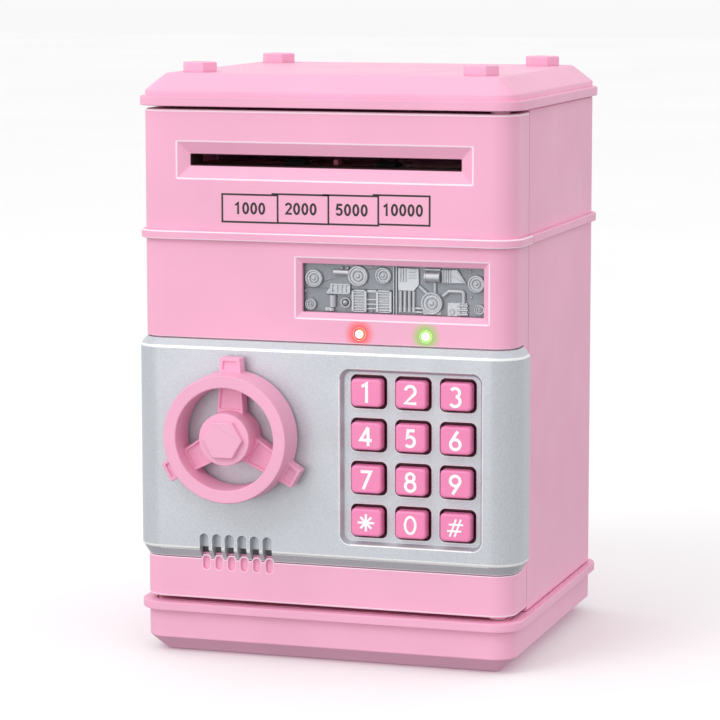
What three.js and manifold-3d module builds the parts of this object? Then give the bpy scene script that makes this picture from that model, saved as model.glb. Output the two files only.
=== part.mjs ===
// Toy safe coin bank: pink plastic safe with a hinged door, handwheel, keypad,
// banknote slot with a motor feed, and a money compartment behind the door.
// Millimetres. +X right, -Y front, +Z up. Origin: centre of the underside.
import * as THREE from 'three';
import { mergeVertices } from 'three/addons/utils/BufferGeometryUtils.js';
import Module from 'manifold-3d';

const wasm = await Module();
wasm.setup();

// ---------------------------------------------------------------- dimensions
const W = 123.5, D = 108.2;              // body width and depth
const HX = W / 2, HY = D / 2;
const RC = 7.2;                          // vertical corner radius
const WALL = 2.5;                        // shell thickness
const GAP = 0.3;                         // gap between touching pieces
const BASE_CH_Z = 4.8, BASE_CH_IN = 5.45; // chamfer round the underside
const FL_Z0 = 13.9, FL_Z1 = 16.7, FL_PR = 2.1;       // base flange
const RG_Z0 = 134.35, RG_Z1 = 137.2, RG_PR = 1.54;   // ridge band
const BODY_Z0 = 17.0, BODY_Z1 = 176.3, BOSS_TOP = 26.8;
const LID_Z0 = 176.6, LID_Z1 = 179.7, LID_PR = 1.63, LID_Z2 = 181.7;
const LID_TOP = 186.8, LID_IN = 6.9;
const CAP_TOP = 190.0, CAP_AF = 10.0, CAP_X = 46.7, CAP_Y = 38.3;
const DOOR_Z0 = 18.2, DOOR_Z1 = 175.6, SEAM_DOOR = -36.2, SEAM_BODY = -35.8;
const PIVOT_X = 55.6, PIVOT_Y = -48.0;   // door hinge axis
const PIN_R = 1.5, PIN_BORE = 1.8, HINGE_BOSS_R = 3.0;
const SWING_R = 13.7, SWING_R_RIDGE = 14.45; // clearance for the hinge-side edge
const SLOT = [-44.7, 44.2, 158.0, 161.3];    // banknote slot x0 x1 z0 z1
const SLOT_BEZEL = 4.2, SLOT_BEZEL_D = 2.05;
const WIN = [-7.4, 51.85, 112.5, 127.85];    // window x0 x1 z0 z1
const WIN_BEZEL = 1.95, WIN_BEZEL_D = 1.2;
const LED_X = [11.84, 33.5], LED_Z = 106.2, LED_R = 1.5;
const PAN_Z0 = 31.8, PAN_Z1 = 102.6, PAN_PR = 2.1, PAN_END = -41.0; // silver panel
const KEYPAD = [5.94, 52.35, 39.38, 95.25], KEYPAD_R = 3.3, KEYPAD_D = 2.3;
const KEY_X = [14.9, 29.45, 44.05], KEY_Z = [88.05, 74.3, 60.55, 46.8];
const KEY_W = 10.0, KEY_H = 8.8, KEY_FRONT = -57.1, KEY_HOLE = 0.9;
const VENT_X0 = -39.88, VENT_PITCH = 4.278, VENT_R = 1.52, VENT_TOP = 38.41;
const WHEEL_X = -28.6, WHEEL_Z = 72.8;
const RING_R = 20.5, RING_IN = 16.5, RING_F = -68.0, RING_B = -57.2;
const HUB_R = 8.4, SPOKE_F = -62.0, SPOKE_B = -57.6, SPOKE_W = 7.6, LUG_R = 25.2;
const SPINDLE_R = 3.0;
const ARM_R = 28.7, ARM_Y0 = -32.9, ARM_Y1 = -30.4;
const FEED_Y = -34.0, FEED_Z = 153.2, PINCH_Z = 165.2; // feed and pinch shaft axes
const ROLLER_R = 6.0, PINCH_R = 5.6, ROLLER_X = 15.2, ROLLER_W = 7.5;
const GEAR_M = 0.6, GEAR_T = 30, PINION_T = 10;
const MOTOR_Y = -43.3, MOTOR_Z = 145.47;
const CELL_R = 7.1, CELL_L = 49.5;

// ------------------------------------------------------------------ materials
const mat = (color, roughness, metalness) =>
  new THREE.MeshStandardMaterial({ color, roughness, metalness, flatShading: true });
const PINK = mat(0xf4bcd4, 0.5, 0.0);
const PINK_DEEP = mat(0xf07fb4, 0.45, 0.0);
const SILVER = mat(0xc2c5cc, 0.45, 0.25);
const RELIEF = mat(0xb4b7bd, 0.4, 0.4);
const STEEL = mat(0xb9bcc0, 0.3, 0.9);
const RUBBER = mat(0x17181a, 0.8, 0.0);
const WHITE = mat(0xece9e2, 0.55, 0.0);
const GREY = mat(0x8d9094, 0.6, 0.0);
const PCB = mat(0x1f6b3a, 0.5, 0.0);
const BATTERY = mat(0x2c3440, 0.35, 0.2);
const RED = mat(0xff2a10, 0.25, 0.0);
const GREEN = mat(0x49e02c, 0.25, 0.0);

// -------------------------------------------------------------- solid helpers
function solid(geometry) {
  const g = geometry.clone();
  g.deleteAttribute('normal');
  g.deleteAttribute('uv');
  const m = mergeVertices(g, 1e-5);
  const mesh = new wasm.Mesh({
    numProp: 3,
    vertProperties: new Float32Array(m.attributes.position.array),
    triVerts: new Uint32Array(m.index.array),
  });
  mesh.merge();
  return new wasm.Manifold(mesh);
}
const v2 = (x, y) => new THREE.Vector2(x, y);
// rounded rectangle, anticlockwise
function rr(x0, x1, y0, y1, r, n = 5) {
  if (r <= 0) return new THREE.Shape([v2(x0, y0), v2(x1, y0), v2(x1, y1), v2(x0, y1)]);
  const p = [];
  const arc = (cx, cy, a0) => {
    for (let i = 0; i <= n; i++) {
      const a = a0 + (i / n) * Math.PI / 2;
      p.push(v2(cx + r * Math.cos(a), cy + r * Math.sin(a)));
    }
  };
  arc(x1 - r, y0 + r, -Math.PI / 2);
  arc(x1 - r, y1 - r, 0);
  arc(x0 + r, y1 - r, Math.PI / 2);
  arc(x0 + r, y0 + r, Math.PI);
  return new THREE.Shape(p);
}
// body outline grown by o (negative shrinks)
const outline = (o) => rr(-HX - o, HX + o, -HY - o, HY + o, Math.max(RC + o, 0.2));
const poly = (pts) => new THREE.Shape(pts.map(([a, b]) => v2(a, b)));
const circle = (cx, cy, r, n, ph = 0) => {
  const p = [];
  for (let i = 0; i < n; i++) {
    const a = ph + (i / n) * 2 * Math.PI;
    p.push(v2(cx + r * Math.cos(a), cy + r * Math.sin(a)));
  }
  return new THREE.Shape(p);
};
function extrude(shape, depth, bevel) {
  return new THREE.ExtrudeGeometry(shape, bevel
    ? { depth, bevelEnabled: true, bevelSegments: 1, steps: 1, ...bevel }
    : { depth, bevelEnabled: false, steps: 1 });
}
// prisms along each axis; the shape is drawn in (x,y), (x,z) or (y,z)
const prismZ = (s, z0, z1) => solid(extrude(s, z1 - z0).translate(0, 0, z0));
const toY = (g, y1) => g.rotateX(Math.PI / 2).translate(0, y1, 0);
const prismY = (s, y0, y1) => solid(toY(extrude(s, y1 - y0), y1));
const CYC = new THREE.Matrix4().makeBasis(
  new THREE.Vector3(0, 1, 0), new THREE.Vector3(0, 0, 1), new THREE.Vector3(1, 0, 0));
const prismX = (s, x0, x1) => solid(extrude(s, x1 - x0).applyMatrix4(CYC).translate(x0, 0, 0));
// outline prism with a chamfer at both ends: t along the axis, c inwards
const chamZ = (s, z0, z1, t, c) => solid(extrude(s, z1 - z0 - 2 * t,
  { bevelThickness: t, bevelSize: c, bevelOffset: -c }).translate(0, 0, z0 + t));
const chamY = (s, y0, y1, t, c) => solid(toY(extrude(s, y1 - y0 - 2 * t,
  { bevelThickness: t, bevelSize: c, bevelOffset: -c }), y1 - t));
// funnel along Y: shape s at depth y0+t, grown by c at y0, and in front of it
const funnelY = (s, y0, t, c) => solid(toY(extrude(s, 10,
  { bevelThickness: t, bevelSize: c, bevelOffset: 0 }), y0));
const box = (x0, x1, y0, y1, z0, z1) => solid(
  new THREE.BoxGeometry(x1 - x0, y1 - y0, z1 - z0)
    .translate((x0 + x1) / 2, (y0 + y1) / 2, (z0 + z1) / 2));
const cylZ = (x, y, r, z0, z1, n = 20) => prismZ(circle(x, y, r, n), z0, z1);
const cylY = (x, z, r, y0, y1, n = 20) => prismY(circle(x, z, r, n), y0, y1);
const cylX = (y, z, r, x0, x1, n = 20) => prismX(circle(y, z, r, n), x0, x1);
// turned piece along X: profile [radius, x] closed on itself or on the axis
const latheX = (prof, y, z, n = 24) => solid(
  new THREE.LatheGeometry(prof.map(([r, h]) => v2(r, h)), n)
    .rotateZ(-Math.PI / 2).translate(0, y, z));
const latheY = (prof, x, z, n = 24) => solid(
  new THREE.LatheGeometry(prof.map(([r, h]) => v2(r, h)), n).translate(x, 0, z));
const sum = (...m) => m.reduce((a, b) => a.add(b));
const frontOf = (y) => box(-200, 200, -200, y, -50, 300);

function geometryOf(m) {
  const o = m.getMesh();
  const g = new THREE.BufferGeometry();
  g.setAttribute('position', new THREE.BufferAttribute(new Float32Array(o.vertProperties), 3));
  g.setIndex(new THREE.BufferAttribute(new Uint32Array(o.triVerts), 1));
  g.computeVertexNormals();
  return g;
}
const group = new THREE.Group();
const door = new THREE.Group();
const feed = new THREE.Group();
const wheel = new THREE.Group();
group.add(door);
door.add(feed, wheel);
function put(parent, name, shape, material, at) {
  const mesh = new THREE.Mesh(shape.getMesh ? geometryOf(shape) : shape, material);
  mesh.name = name;
  if (at) mesh.position.set(...at);
  parent.add(mesh);
  return mesh;
}

// ======================================================================= base
const SCREWS = [[-52, 44], [52, 44], [-52, -29], [52, -29]];
{
  const outer = chamZ(outline(0), 0, 60, BASE_CH_Z, BASE_CH_IN)
    .subtract(box(-200, 200, -200, 200, FL_Z1, 100))
    .add(prismZ(outline(FL_PR), FL_Z0, FL_Z1));
  let hollow = chamZ(outline(-WALL), WALL, 60, BASE_CH_Z, BASE_CH_IN - 1.4);
  for (const [x, y] of SCREWS) hollow = hollow.subtract(cylZ(x, y, 4.5, 0, 13.6, 10));
  hollow = hollow.subtract(cylZ(PIVOT_X, PIVOT_Y, 5, 0, 13.6, 10));
  let tray = outer.subtract(hollow);
  for (const [x, y] of SCREWS) {
    tray = tray.subtract(cylZ(x, y, 1.8, -1, 20, 8)).subtract(cylZ(x, y, 3.5, -1, 2.8, 12));
  }
  tray = tray.subtract(cylZ(PIVOT_X, PIVOT_Y, PIN_BORE, 4.2, 20, 10));
  put(group, 'base_tray', tray, PINK);

  let floor = prismZ(outline(-WALL - GAP), 14.0, FL_Z1);
  for (const [x, y] of SCREWS) floor = floor.subtract(cylZ(x, y, 1.8, 10, 20, 8));
  floor = floor.subtract(cylZ(PIVOT_X, PIVOT_Y, PIN_BORE, 10, 20, 10));
  put(group, 'floor_plate', floor, PINK);

  const screw = cylZ(0, 0, 3.0, 0.5, 2.3, 12).add(cylZ(0, 0, 1.35, 2.0, BOSS_TOP - 1.8, 8));
  SCREWS.forEach(([x, y], i) => put(group, `base_screw_${i + 1}`, screw, STEEL, [x, y, 0]));
}

// ======================================================================= body
{
  let shell = prismZ(outline(0), BODY_Z0, BODY_Z1).add(prismZ(outline(RG_PR), RG_Z0, RG_Z1))
    .subtract(prismZ(outline(-WALL), 0, 250));
  shell = shell.subtract(frontOf(SEAM_BODY))
    .subtract(cylZ(PIVOT_X, PIVOT_Y, SWING_R, 0, 200, 40))
    .subtract(cylZ(PIVOT_X, PIVOT_Y, SWING_R_RIDGE, RG_Z0 - 0.5, RG_Z1 + 0.5, 40));
  const inside = prismZ(outline(-1), 0, 250).subtract(frontOf(SEAM_BODY + 0.6))
    .subtract(cylZ(PIVOT_X, PIVOT_Y, SWING_R + 0.3, 0, 200, 40));
  let bosses = null;
  for (const [x, y] of SCREWS) {
    const s = Math.sign(x);
    let b = cylZ(x, y, 5, BODY_Z0, BOSS_TOP, 12)
      .add(box(Math.min(x, s * 62), Math.max(x, s * 62), y - 1, y + 1, BODY_Z0, BOSS_TOP));
    if (y > 0) b = b.add(box(x - 1, x + 1, y, 54, BODY_Z0, BOSS_TOP));
    bosses = bosses ? bosses.add(b) : b;
  }
  shell = shell.add(bosses.intersect(inside));
  // reinforcing ribs inside the back wall
  shell = shell.add(sum(box(-20.8, -19.2, 50.4, 53, BODY_Z0, 150), box(19.2, 20.8, 50.4, 53, BODY_Z0, 150)));
  for (const [x, y] of SCREWS) shell = shell.subtract(cylZ(x, y, 1.65, 0, BOSS_TOP - 1.2, 8));
  // coin slot through the back wall
  shell = shell.subtract(prismY(rr(-16.5, 16.5, 163.3, 168.1, 1.2, 2), 45, 60));
  put(group, 'body_shell', shell, PINK);

  // keeper: plate on the left wall with a lip the latch arm turns in behind
  const keeper = sum(box(-58.95, -57.95, -35.3, -20, 60, 85.6), box(-58.95, -53.5, -35.3, -33.3, 60, 85.6),
    poly3(-58.95, -33.3, 84.401));
  put(group, 'latch_keeper', keeper, STEEL);
}
// gusset at the upper end of the keeper
function poly3(x, y, z) {
  return prismZ(poly([[x, y - 2], [x + 5.4, y - 2], [x + 5.4, y], [x + 1, y + 8], [x, y + 8]]), z, z + 1.2);
}

// ======================================================================== lid
{
  const outer = chamZ(outline(0), 120, LID_TOP, LID_TOP - LID_Z2, LID_IN)
    .subtract(box(-200, 200, -200, 200, 0, LID_Z1 - 0.5))
    .add(prismZ(outline(LID_PR), LID_Z0, LID_Z1));
  let hollow = prismZ(outline(-WALL), 150, 180.0)
    .add(prismZ(rr(-HX + 9.5, HX - 9.5, -HY + 9.5, HY - 9.5, 1.5, 2), 150, 184.5));
  hollow = hollow.subtract(cylZ(PIVOT_X, PIVOT_Y, 5, 150, 190, 12));
  for (const sx of [-1, 1]) for (const sy of [-1, 1])
    hollow = hollow.subtract(cylZ(sx * CAP_X, sy * CAP_Y, 4, 180.4, 190, 10));
  let lid = outer.subtract(hollow).subtract(cylZ(PIVOT_X, PIVOT_Y, PIN_BORE, 150, 182, 10));
  const hexR = (CAP_AF / 2 + 0.3) / Math.cos(Math.PI / 6);
  for (const sx of [-1, 1]) for (const sy of [-1, 1]) {
    const x = sx * CAP_X, y = sy * CAP_Y;
    lid = lid.subtract(prismZ(circle(x, y, hexR, 6), LID_TOP - 0.9, 200))
      .subtract(cylZ(x, y, 2.35, 150, 200, 8));
  }
  put(group, 'lid', lid, PINK);
  const R = CAP_AF / 2 / Math.cos(Math.PI / 6);
  const cap = chamZ(circle(0, 0, R, 6), LID_TOP - 0.6, CAP_TOP, 0.35, 0.35)
    .add(cylZ(0, 0, 2.0, 181.2, LID_TOP, 8));
  const names = { '-1-1': 'front_left', '1-1': 'front_right', '-11': 'back_left', '11': 'back_right' };
  for (const sx of [-1, 1]) for (const sy of [-1, 1])
    put(group, `lid_cap_${names[`${sx}${sy}`]}`, cap, PINK, [sx * CAP_X, sy * CAP_Y, 0]);
}

// ================================================================ hinge pins
put(group, 'hinge_pin_upper', cylZ(0, 0, PIN_R, 168.5, 181.6, 10), STEEL, [PIVOT_X, PIVOT_Y, 0]);
put(group, 'hinge_pin_lower', cylZ(0, 0, PIN_R, 4.6, 25.5, 10), STEEL, [PIVOT_X, PIVOT_Y, 0]);

// ================================================================ door shell
const POSTS = [[-52, 28], [-52, 120], [52.5, 104], [52.5, 32]];
{
  let s = prismZ(outline(0), DOOR_Z0, DOOR_Z1).add(prismZ(outline(RG_PR), RG_Z0, RG_Z1))
    .intersect(frontOf(SEAM_DOOR));
  s = s.subtract(prismZ(outline(-WALL), DOOR_Z0 + 2, DOOR_Z1 - 2));
  // hinge bosses
  s = s.add(cylZ(PIVOT_X, PIVOT_Y, 4, DOOR_Z0 + 1, 28, 12)).add(cylZ(PIVOT_X, PIVOT_Y, 4, 166, DOOR_Z1 - 1, 12))
    .add(cylZ(PIVOT_X, PIVOT_Y, HINGE_BOSS_R, 17.0, DOOR_Z1 + 0.7, 14)
      .subtract(box(-200, 200, -200, 200, 27.5, 166.5)));
  // banknote tunnel behind the bezel, then posts for the back-cover screws
  s = s.add(box(SLOT[0] - 1.9, SLOT[1] + 1.9, -52, -41.5, SLOT[2] - 1.6, SLOT[3] + 1.6));
  for (const [x, z] of POSTS) s = s.add(cylY(x, z, 3, -52, -38.6, 8));
  s = s.subtract(box(SLOT[0], SLOT[1], -60, -41, SLOT[2], SLOT[3]))
    .subtract(funnelY(rr(SLOT[0], SLOT[1], SLOT[2], SLOT[3], 0), -HY, SLOT_BEZEL_D, SLOT_BEZEL))
    .subtract(box(WIN[0], WIN[1], -60, -50, WIN[2], WIN[3]))
    .subtract(funnelY(rr(WIN[0], WIN[1], WIN[2], WIN[3], 0), -HY, WIN_BEZEL_D, WIN_BEZEL))
    .subtract(box(4.5, 53.8, -60, -50, 37.9, 96.7))
    .subtract(box(-43.6, -14.8, -60, -50, 33.4, 41.9))
    .subtract(cylY(WHEEL_X, WHEEL_Z, 3.4, -60, -50, 16));
  for (const x of LED_X) s = s.subtract(cylY(x, LED_Z, 1.8, -60, -50, 12));
  for (let i = 0; i < 6; i++) {
    const x = VENT_X0 + i * VENT_PITCH;
    s = s.subtract(prismY(rr(x - VENT_R, x + VENT_R, 28.2, 38, 1.5, 2), -60, -52.9));
  }
  s = s.subtract(cylZ(PIVOT_X, PIVOT_Y, PIN_BORE, 0, 27, 10)).subtract(cylZ(PIVOT_X, PIVOT_Y, PIN_BORE, 167, 200, 10));
  for (const [x, z] of POSTS) s = s.subtract(cylY(x, z, 1.2, -50.5, -38, 8));
  put(door, 'door_shell', s, PINK);
}

// =============================================================== front panel
{
  const lower = chamZ(outline(PAN_PR), PAN_Z0, 220, 3.2, PAN_PR);
  const upper = chamZ(outline(PAN_PR), -80, PAN_Z1, 2.45, PAN_PR);
  let p = lower.intersect(upper).intersect(frontOf(PAN_END)).subtract(prismZ(outline(GAP), 0, 200));
  p = p.add(box(4.9, 53.4, -54.6, -52.2, 38.3, 96.3)).add(box(-43.2, -15.2, -54.6, -52.4, 35.3, 41.5));
  const k = 0.95;
  p = p.subtract(funnelY(rr(KEYPAD[0] + k, KEYPAD[1] - k, KEYPAD[2] + k, KEYPAD[3] - k, KEYPAD_R - k, 5),
    -HY - PAN_PR, KEYPAD_D, k));
  for (const x of KEY_X) for (const z of KEY_Z)
    p = p.subtract(prismY(rr(x - KEY_W / 2 - KEY_HOLE, x + KEY_W / 2 + KEY_HOLE,
      z - KEY_H / 2 - KEY_HOLE, z + KEY_H / 2 + KEY_HOLE, 1.8, 2), -60, -50));
  for (let i = 0; i < 6; i++) {
    const x = VENT_X0 + i * VENT_PITCH;
    p = p.subtract(prismY(rr(x - VENT_R, x + VENT_R, 20, VENT_TOP + VENT_R, 1.5, 2), -60, -53.5));
  }
  p = p.subtract(cylY(WHEEL_X, WHEEL_Z, 3.6, -60, -50, 16));
  put(door, 'front_panel', p, SILVER);
}

// ====================================================== relief panel and LEDs
{
  let r = box(-8.6, 53.1, -50.6, -49.4, 111.3, 129.1);
  const disc = (x, z, R, f, n = 10) => cylY(x, z, R, f, -50, n);
  const pl = (x0, x1, z0, z1, f) => box(x0, x1, f, -50, z0, z1);
  r = sum(r,
    disc(-4.65, 122.7, 2.74, -51.3), disc(-5.3, 114.9, 1.7, -51.2, 8), disc(10.08, 124.0, 3.2, -51.3),
    disc(18.29, 124.4, 2.4, -51.2), disc(6.24, 115.5, 1.6, -51.2, 8), disc(34.13, 116.6, 3.4, -51.3),
    disc(48.2, 122.6, 2.6, -51.3), disc(49.0, 114.9, 1.5, -51.2, 8),
    pl(-1.4, 3.4, 124.2, 126.9, -51.1), pl(-0.7, 7.3, 118.0, 121.2, -51.2), pl(8.4, 13.2, 112.9, 119.5, -51.2),
    pl(16.1, 21.2, 112.9, 119.8, -51.2), pl(23.0, 29.9, 120.2, 127.1, -51.2), pl(23.1, 28.9, 113.3, 119.8, -51.1),
    pl(31.4, 36.8, 122.3, 126.2, -51.3), pl(38.5, 45.0, 113.0, 118.6, -51.2),
    prismY(poly([[37.3, 122.5], [44.9, 124.3], [44.4, 127.0], [37.3, 127.0]]), -51.2, -50));
  put(door, 'relief_panel', r, RELIEF);

  const prof = [[0, -55.0], [0.85, -54.8], [1.5, -54.0], [1.5, -51.3], [2.0, -51.3], [2.0, -49.6], [0, -49.6]];
  const led = latheY(prof, 0, 0, 10);
  put(door, 'led_red', led, RED, [LED_X[0], 0, LED_Z]);
  put(door, 'led_green', led, GREEN, [LED_X[1], 0, LED_Z]);
}

// ================================================================ keypad
{
  const key = chamY(rr(-KEY_W / 2, KEY_W / 2, -KEY_H / 2, KEY_H / 2, 1.2, 2), KEY_FRONT, -50.9, 0.35, 0.35)
    .add(prismY(rr(-6.5, 6.5, -5.9, 5.9, 0), -51.9, -50.9));
  const names = ['1', '2', '3', '4', '5', '6', '7', '8', '9', 'star', '0', 'hash'];
  const key_geometry = geometryOf(key);
  names.forEach((n, i) => put(door, `key_${n}`, key_geometry, PINK_DEEP,
    [KEY_X[i % 3], 0, KEY_Z[Math.floor(i / 3)]]));
  put(door, 'keypad_membrane', prismY(rr(5.6, 53.2, 39.0, 95.4, 2, 2), -49.1, -48.1), WHITE);
  put(door, 'main_pcb', box(3.4, 55.2, -47.8, -46.2, 36.6, 97.8), PCB);
}

// ================================================================ speaker
put(door, 'speaker', latheY([[0, -46], [5.5, -46], [5.5, -48.6], [13.6, -50.2], [13.6, -51.2], [0, -51.2]].reverse(),
  -29.5, 36.5, 16), GREY);

// ================================================================ back covers
{
  let c = box(-58.9, 58.9, -38.2, -36.4, 20.5, 136.8);
  c = c.add(box(-7.7, 48.2, -45.8, -29.2, 27.4, 77.6)).subtract(box(-6.2, 46.7, -44.4, -20, 28.9, 76.1));
  c = c.subtract(cylY(WHEEL_X, WHEEL_Z, 3.4, -40, -30, 16)).subtract(cylY(-42, 66.4, 2.4, -40, -30, 12));
  for (const [x, z] of POSTS) c = c.subtract(cylY(x, z, 1.5, -40, -30, 8));
  put(door, 'door_back_cover', c, PINK);
  const screw = cylY(0, 0, 2.6, -36.1, -34.7, 12).add(cylY(0, 0, 0.85, -47, -36, 8));
  POSTS.forEach(([x, z], i) => put(door, `door_screw_${i + 1}`, screw, STEEL, [x, 0, z]));

  let b = prismY(rr(-7.5, 48.0, 27.6, 77.4, 1.5, 3), -28.9, -27.4);
  b = b.add(box(12, 28, -28.0, -26.9, 73.5, 75.5));
  put(door, 'battery_cover', b, PINK);
  const cell = latheX([[0, -CELL_L / 2], [CELL_R, -CELL_L / 2], [CELL_R, CELL_L / 2 - 0.6], [2.7, CELL_L / 2 - 0.6],
    [2.7, CELL_L / 2 + 0.6], [0, CELL_L / 2 + 0.6]], 0, 0, 14);
  for (let i = 0; i < 3; i++) {
    const m = put(door, `battery_${i + 1}`, cell, BATTERY, [20.25, -36.9, 37.5 + 15 * i]);
    if (i === 1) m.rotation.z = Math.PI;
  }

  // feed cover: frame plate with a hat that reaches back over the feed
  let f = box(-58.9, 58.9, -38.2, -36.4, 137.4, 173.1).add(box(-54, 53, -38.2, -22, 137.6, 172.9));
  f = f.subtract(box(-52.4, 51.4, -60, -23.6, 139.2, 171.4));
  f = f.subtract(box(-46, 46, -30, -15, 157.0, 162.4));
  put(door, 'feed_cover', f, PINK);
}

// ================================================================ note feed
const gearShape = (teeth, r, phase) => {
  const p = [];
  const add = 0.45, ded = 0.75, step = 2 * Math.PI / teeth;
  for (let i = 0; i < teeth; i++) {
    const a = phase + i * step;
    const w0 = 0.27 * step, w2 = 0.09 * step;
    p.push(v2((r - ded) * Math.cos(a - w0), (r - ded) * Math.sin(a - w0)));
    p.push(v2((r + add) * Math.cos(a - w2), (r + add) * Math.sin(a - w2)));
    p.push(v2((r + add) * Math.cos(a + w2), (r + add) * Math.sin(a + w2)));
    p.push(v2((r - ded) * Math.cos(a + w0), (r - ded) * Math.sin(a + w0)));
  }
  return new THREE.Shape(p);
};
{
  const Y0 = -41.0, Y1 = -25.5, XL = -48.6, XR = 44.4;
  let f = sum(box(XL, XL + 1.8, Y0, Y1, 143, 171), box(XR, XR + 1.8, Y0, Y1, 143, 171),
    box(XL, XR + 1, Y0, Y1, 156.5, 157.7), box(XL, XR + 1, Y0, Y1, 162.0, 163.2),
    box(XL, XR + 1, -27.3, -25.5, 143, 145));
  for (const s of [-1, 1]) {
    f = f.subtract(box(s * ROLLER_X - 4.6, s * ROLLER_X + 4.6, -40.4, -27.5, 150, 160))
      .subtract(box(s * ROLLER_X - 4.6, s * ROLLER_X + 4.6, -40.2, -27.8, 160, 170));
  }
  f = sum(f, box(-2.2, -0.7, -37, -33, 157, 159.4), box(-9.0, 5.3, -38, -31, 160.4, 162.6));
  f = f.subtract(cylX(FEED_Y, FEED_Z, 1.8, -60, 60, 10)).subtract(cylX(FEED_Y, PINCH_Z, 1.5, -60, 60, 10));
  put(feed, 'feed_frame', f, WHITE);

  put(feed, 'feed_shaft', cylX(0, 0, 1.5, -50.4, 50.8, 10), STEEL, [0, FEED_Y, FEED_Z]);
  const roller = (R, bore) => {
    const h = ROLLER_W / 2;
    return latheX([[bore, -h], [R - 0.7, -h], [R, -h / 2], [R, h / 2], [R - 0.7, h], [bore, h], [bore, -h]], 0, 0, 18);
  };
  const drive = geometryOf(roller(ROLLER_R, 1.8)), pinch = geometryOf(roller(PINCH_R, 1.5));
  put(feed, 'feed_roller_left', drive, RUBBER, [-ROLLER_X, FEED_Y, FEED_Z]);
  put(feed, 'feed_roller_right', drive, RUBBER, [ROLLER_X, FEED_Y, FEED_Z]);
  put(feed, 'pinch_shaft', cylX(0, 0, 1.2, -50.0, 47.4, 10), STEEL, [0, FEED_Y, PINCH_Z]);
  put(feed, 'pinch_roller_left', pinch, RUBBER, [-ROLLER_X, FEED_Y, PINCH_Z]);
  put(feed, 'pinch_roller_right', pinch, RUBBER, [ROLLER_X, FEED_Y, PINCH_Z]);

  // gear train: the pinion's centre lies down and forward of the drive gear
  const dy = MOTOR_Y - FEED_Y, dz = MOTOR_Z - FEED_Z, dir = Math.atan2(dz, dy);
  const gear = prismX(gearShape(GEAR_T, GEAR_M * GEAR_T / 2, dir), 47.4, 49.8)
    .add(cylX(0, 0, 3.2, 46.7, 50.4, 10)).subtract(cylX(0, 0, 1.85, 40, 60, 10));
  put(feed, 'drive_gear', gear, WHITE, [0, FEED_Y, FEED_Z]);
  const pinion = prismX(gearShape(PINION_T, GEAR_M * PINION_T / 2, dir + Math.PI + Math.PI / PINION_T), 47.2, 50.0)
    .add(cylX(0, 0, 0.75, 43.9, 50.6, 8));
  put(feed, 'motor_pinion', pinion, STEEL, [0, MOTOR_Y, MOTOR_Z]);
  const motor = cylX(0, 0, 6.0, 24, 43.2, 16).intersect(box(0, 60, -6.2, 6.2, -5.0, 5.0))
    .add(cylX(0, 0, 2.2, 43, 43.6, 8)).add(cylX(0, 0, 2.2, 22.8, 24.5, 8));
  put(feed, 'feed_motor', motor, STEEL, [0, MOTOR_Y, MOTOR_Z]);
}

// ================================================================ lock
{
  const s = cylY(-42, 66.4, 6.0, -50.8, -38.7, 16).subtract(cylY(-42, 66.4, 2.4, -50.0, -30, 12));
  put(door, 'lock_solenoid', s, GREY);
  put(door, 'lock_plunger', cylY(0, 0, 2.0, -46.5, -36.4, 12), STEEL, [-42, 0, 66.4]);
}

// ================================================================ handwheel
{
  const X = WHEEL_X, Z = WHEEL_Z;
  wheel.position.set(X, 0, Z);
  const ring = latheY([[RING_IN, RING_F], [RING_R - 0.25, RING_F], [RING_R, RING_F + 0.3], [RING_R + 0.45, RING_B],
    [RING_IN - 0.5, RING_B], [RING_IN, RING_F]], 0, 0, 36);
  const hub = latheY([[0, RING_F], [HUB_R - 0.2, RING_F], [HUB_R, RING_F + 0.25], [HUB_R + 0.3, RING_B + 0.2],
    [0, RING_B + 0.2]], 0, 0, 24);
  let w = ring.add(hub);
  for (const a of [90, 210, 330]) {
    const hw = SPOKE_W / 2;
    let s = prismY(poly([[4, -hw - 0.1], [LUG_R, -hw + 0.35], [LUG_R, hw - 0.35], [4, hw + 0.1]]), SPOKE_F, SPOKE_B)
      .subtract(prismY(poly([[8, -hw + 0.9], [15.4, -hw + 1.0], [15.4, hw - 1.0], [8, hw - 0.9]]), -70, SPOKE_F + 0.7))
      .subtract(prismY(poly([[21.2, -hw + 1.2], [LUG_R - 1.1, -hw + 1.4], [LUG_R - 1.1, hw - 1.4], [21.2, hw - 1.2]]),
        -70, SPOKE_F + 0.6));
    const t = THREE.MathUtils.degToRad(a), c = Math.cos(t), n = Math.sin(t);
    // turn the spoke about Y so that its length points at angle a in the XZ plane
    s = s.transform([c, 0, n, 0, 0, 1, 0, 0, -n, 0, c, 0, 0, 0, 0, 1]);
    w = w.add(s.subtract(latheY([[0, -80], [HUB_R - 0.5, -80], [HUB_R - 0.5, -50], [0, -50]], 0, 0, 12)));
  }
  // hexagonal boss on the hub's face, and the blind bore for the spindle
  const R = CAP_AF / 2 / Math.cos(Math.PI / 6);
  w = w.add(chamY(circle(0, 0, R, 6), -69.7, RING_F + 0.8, 0.3, 0.3))
    .subtract(cylY(0, 0, SPINDLE_R + GAP, -65.5, -50, 16));
  put(wheel, 'handwheel', w, PINK);
  put(wheel, 'spindle', cylY(0, 0, SPINDLE_R, -65.2, -29.6, 16), STEEL);
  const arm = cylY(0, 0, 6.4, ARM_Y0, ARM_Y1, 16)
    .add(prismY(poly([[-4.2, 0], [-3.0, -ARM_R], [3.0, -ARM_R], [4.2, 0]]), ARM_Y0, ARM_Y1))
    .subtract(cylY(0, 0, SPINDLE_R + GAP, -50, -20, 16));
  put(wheel, 'latch_arm', arm, STEEL);
}

export default group;
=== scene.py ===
"""Toy safe coin bank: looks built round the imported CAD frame. Millimetres in the tables, metres in the scene."""

import math

import bmesh
import bpy
from mathutils import Matrix, Vector
from mathutils.geometry import delaunay_2d_cdt


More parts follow.
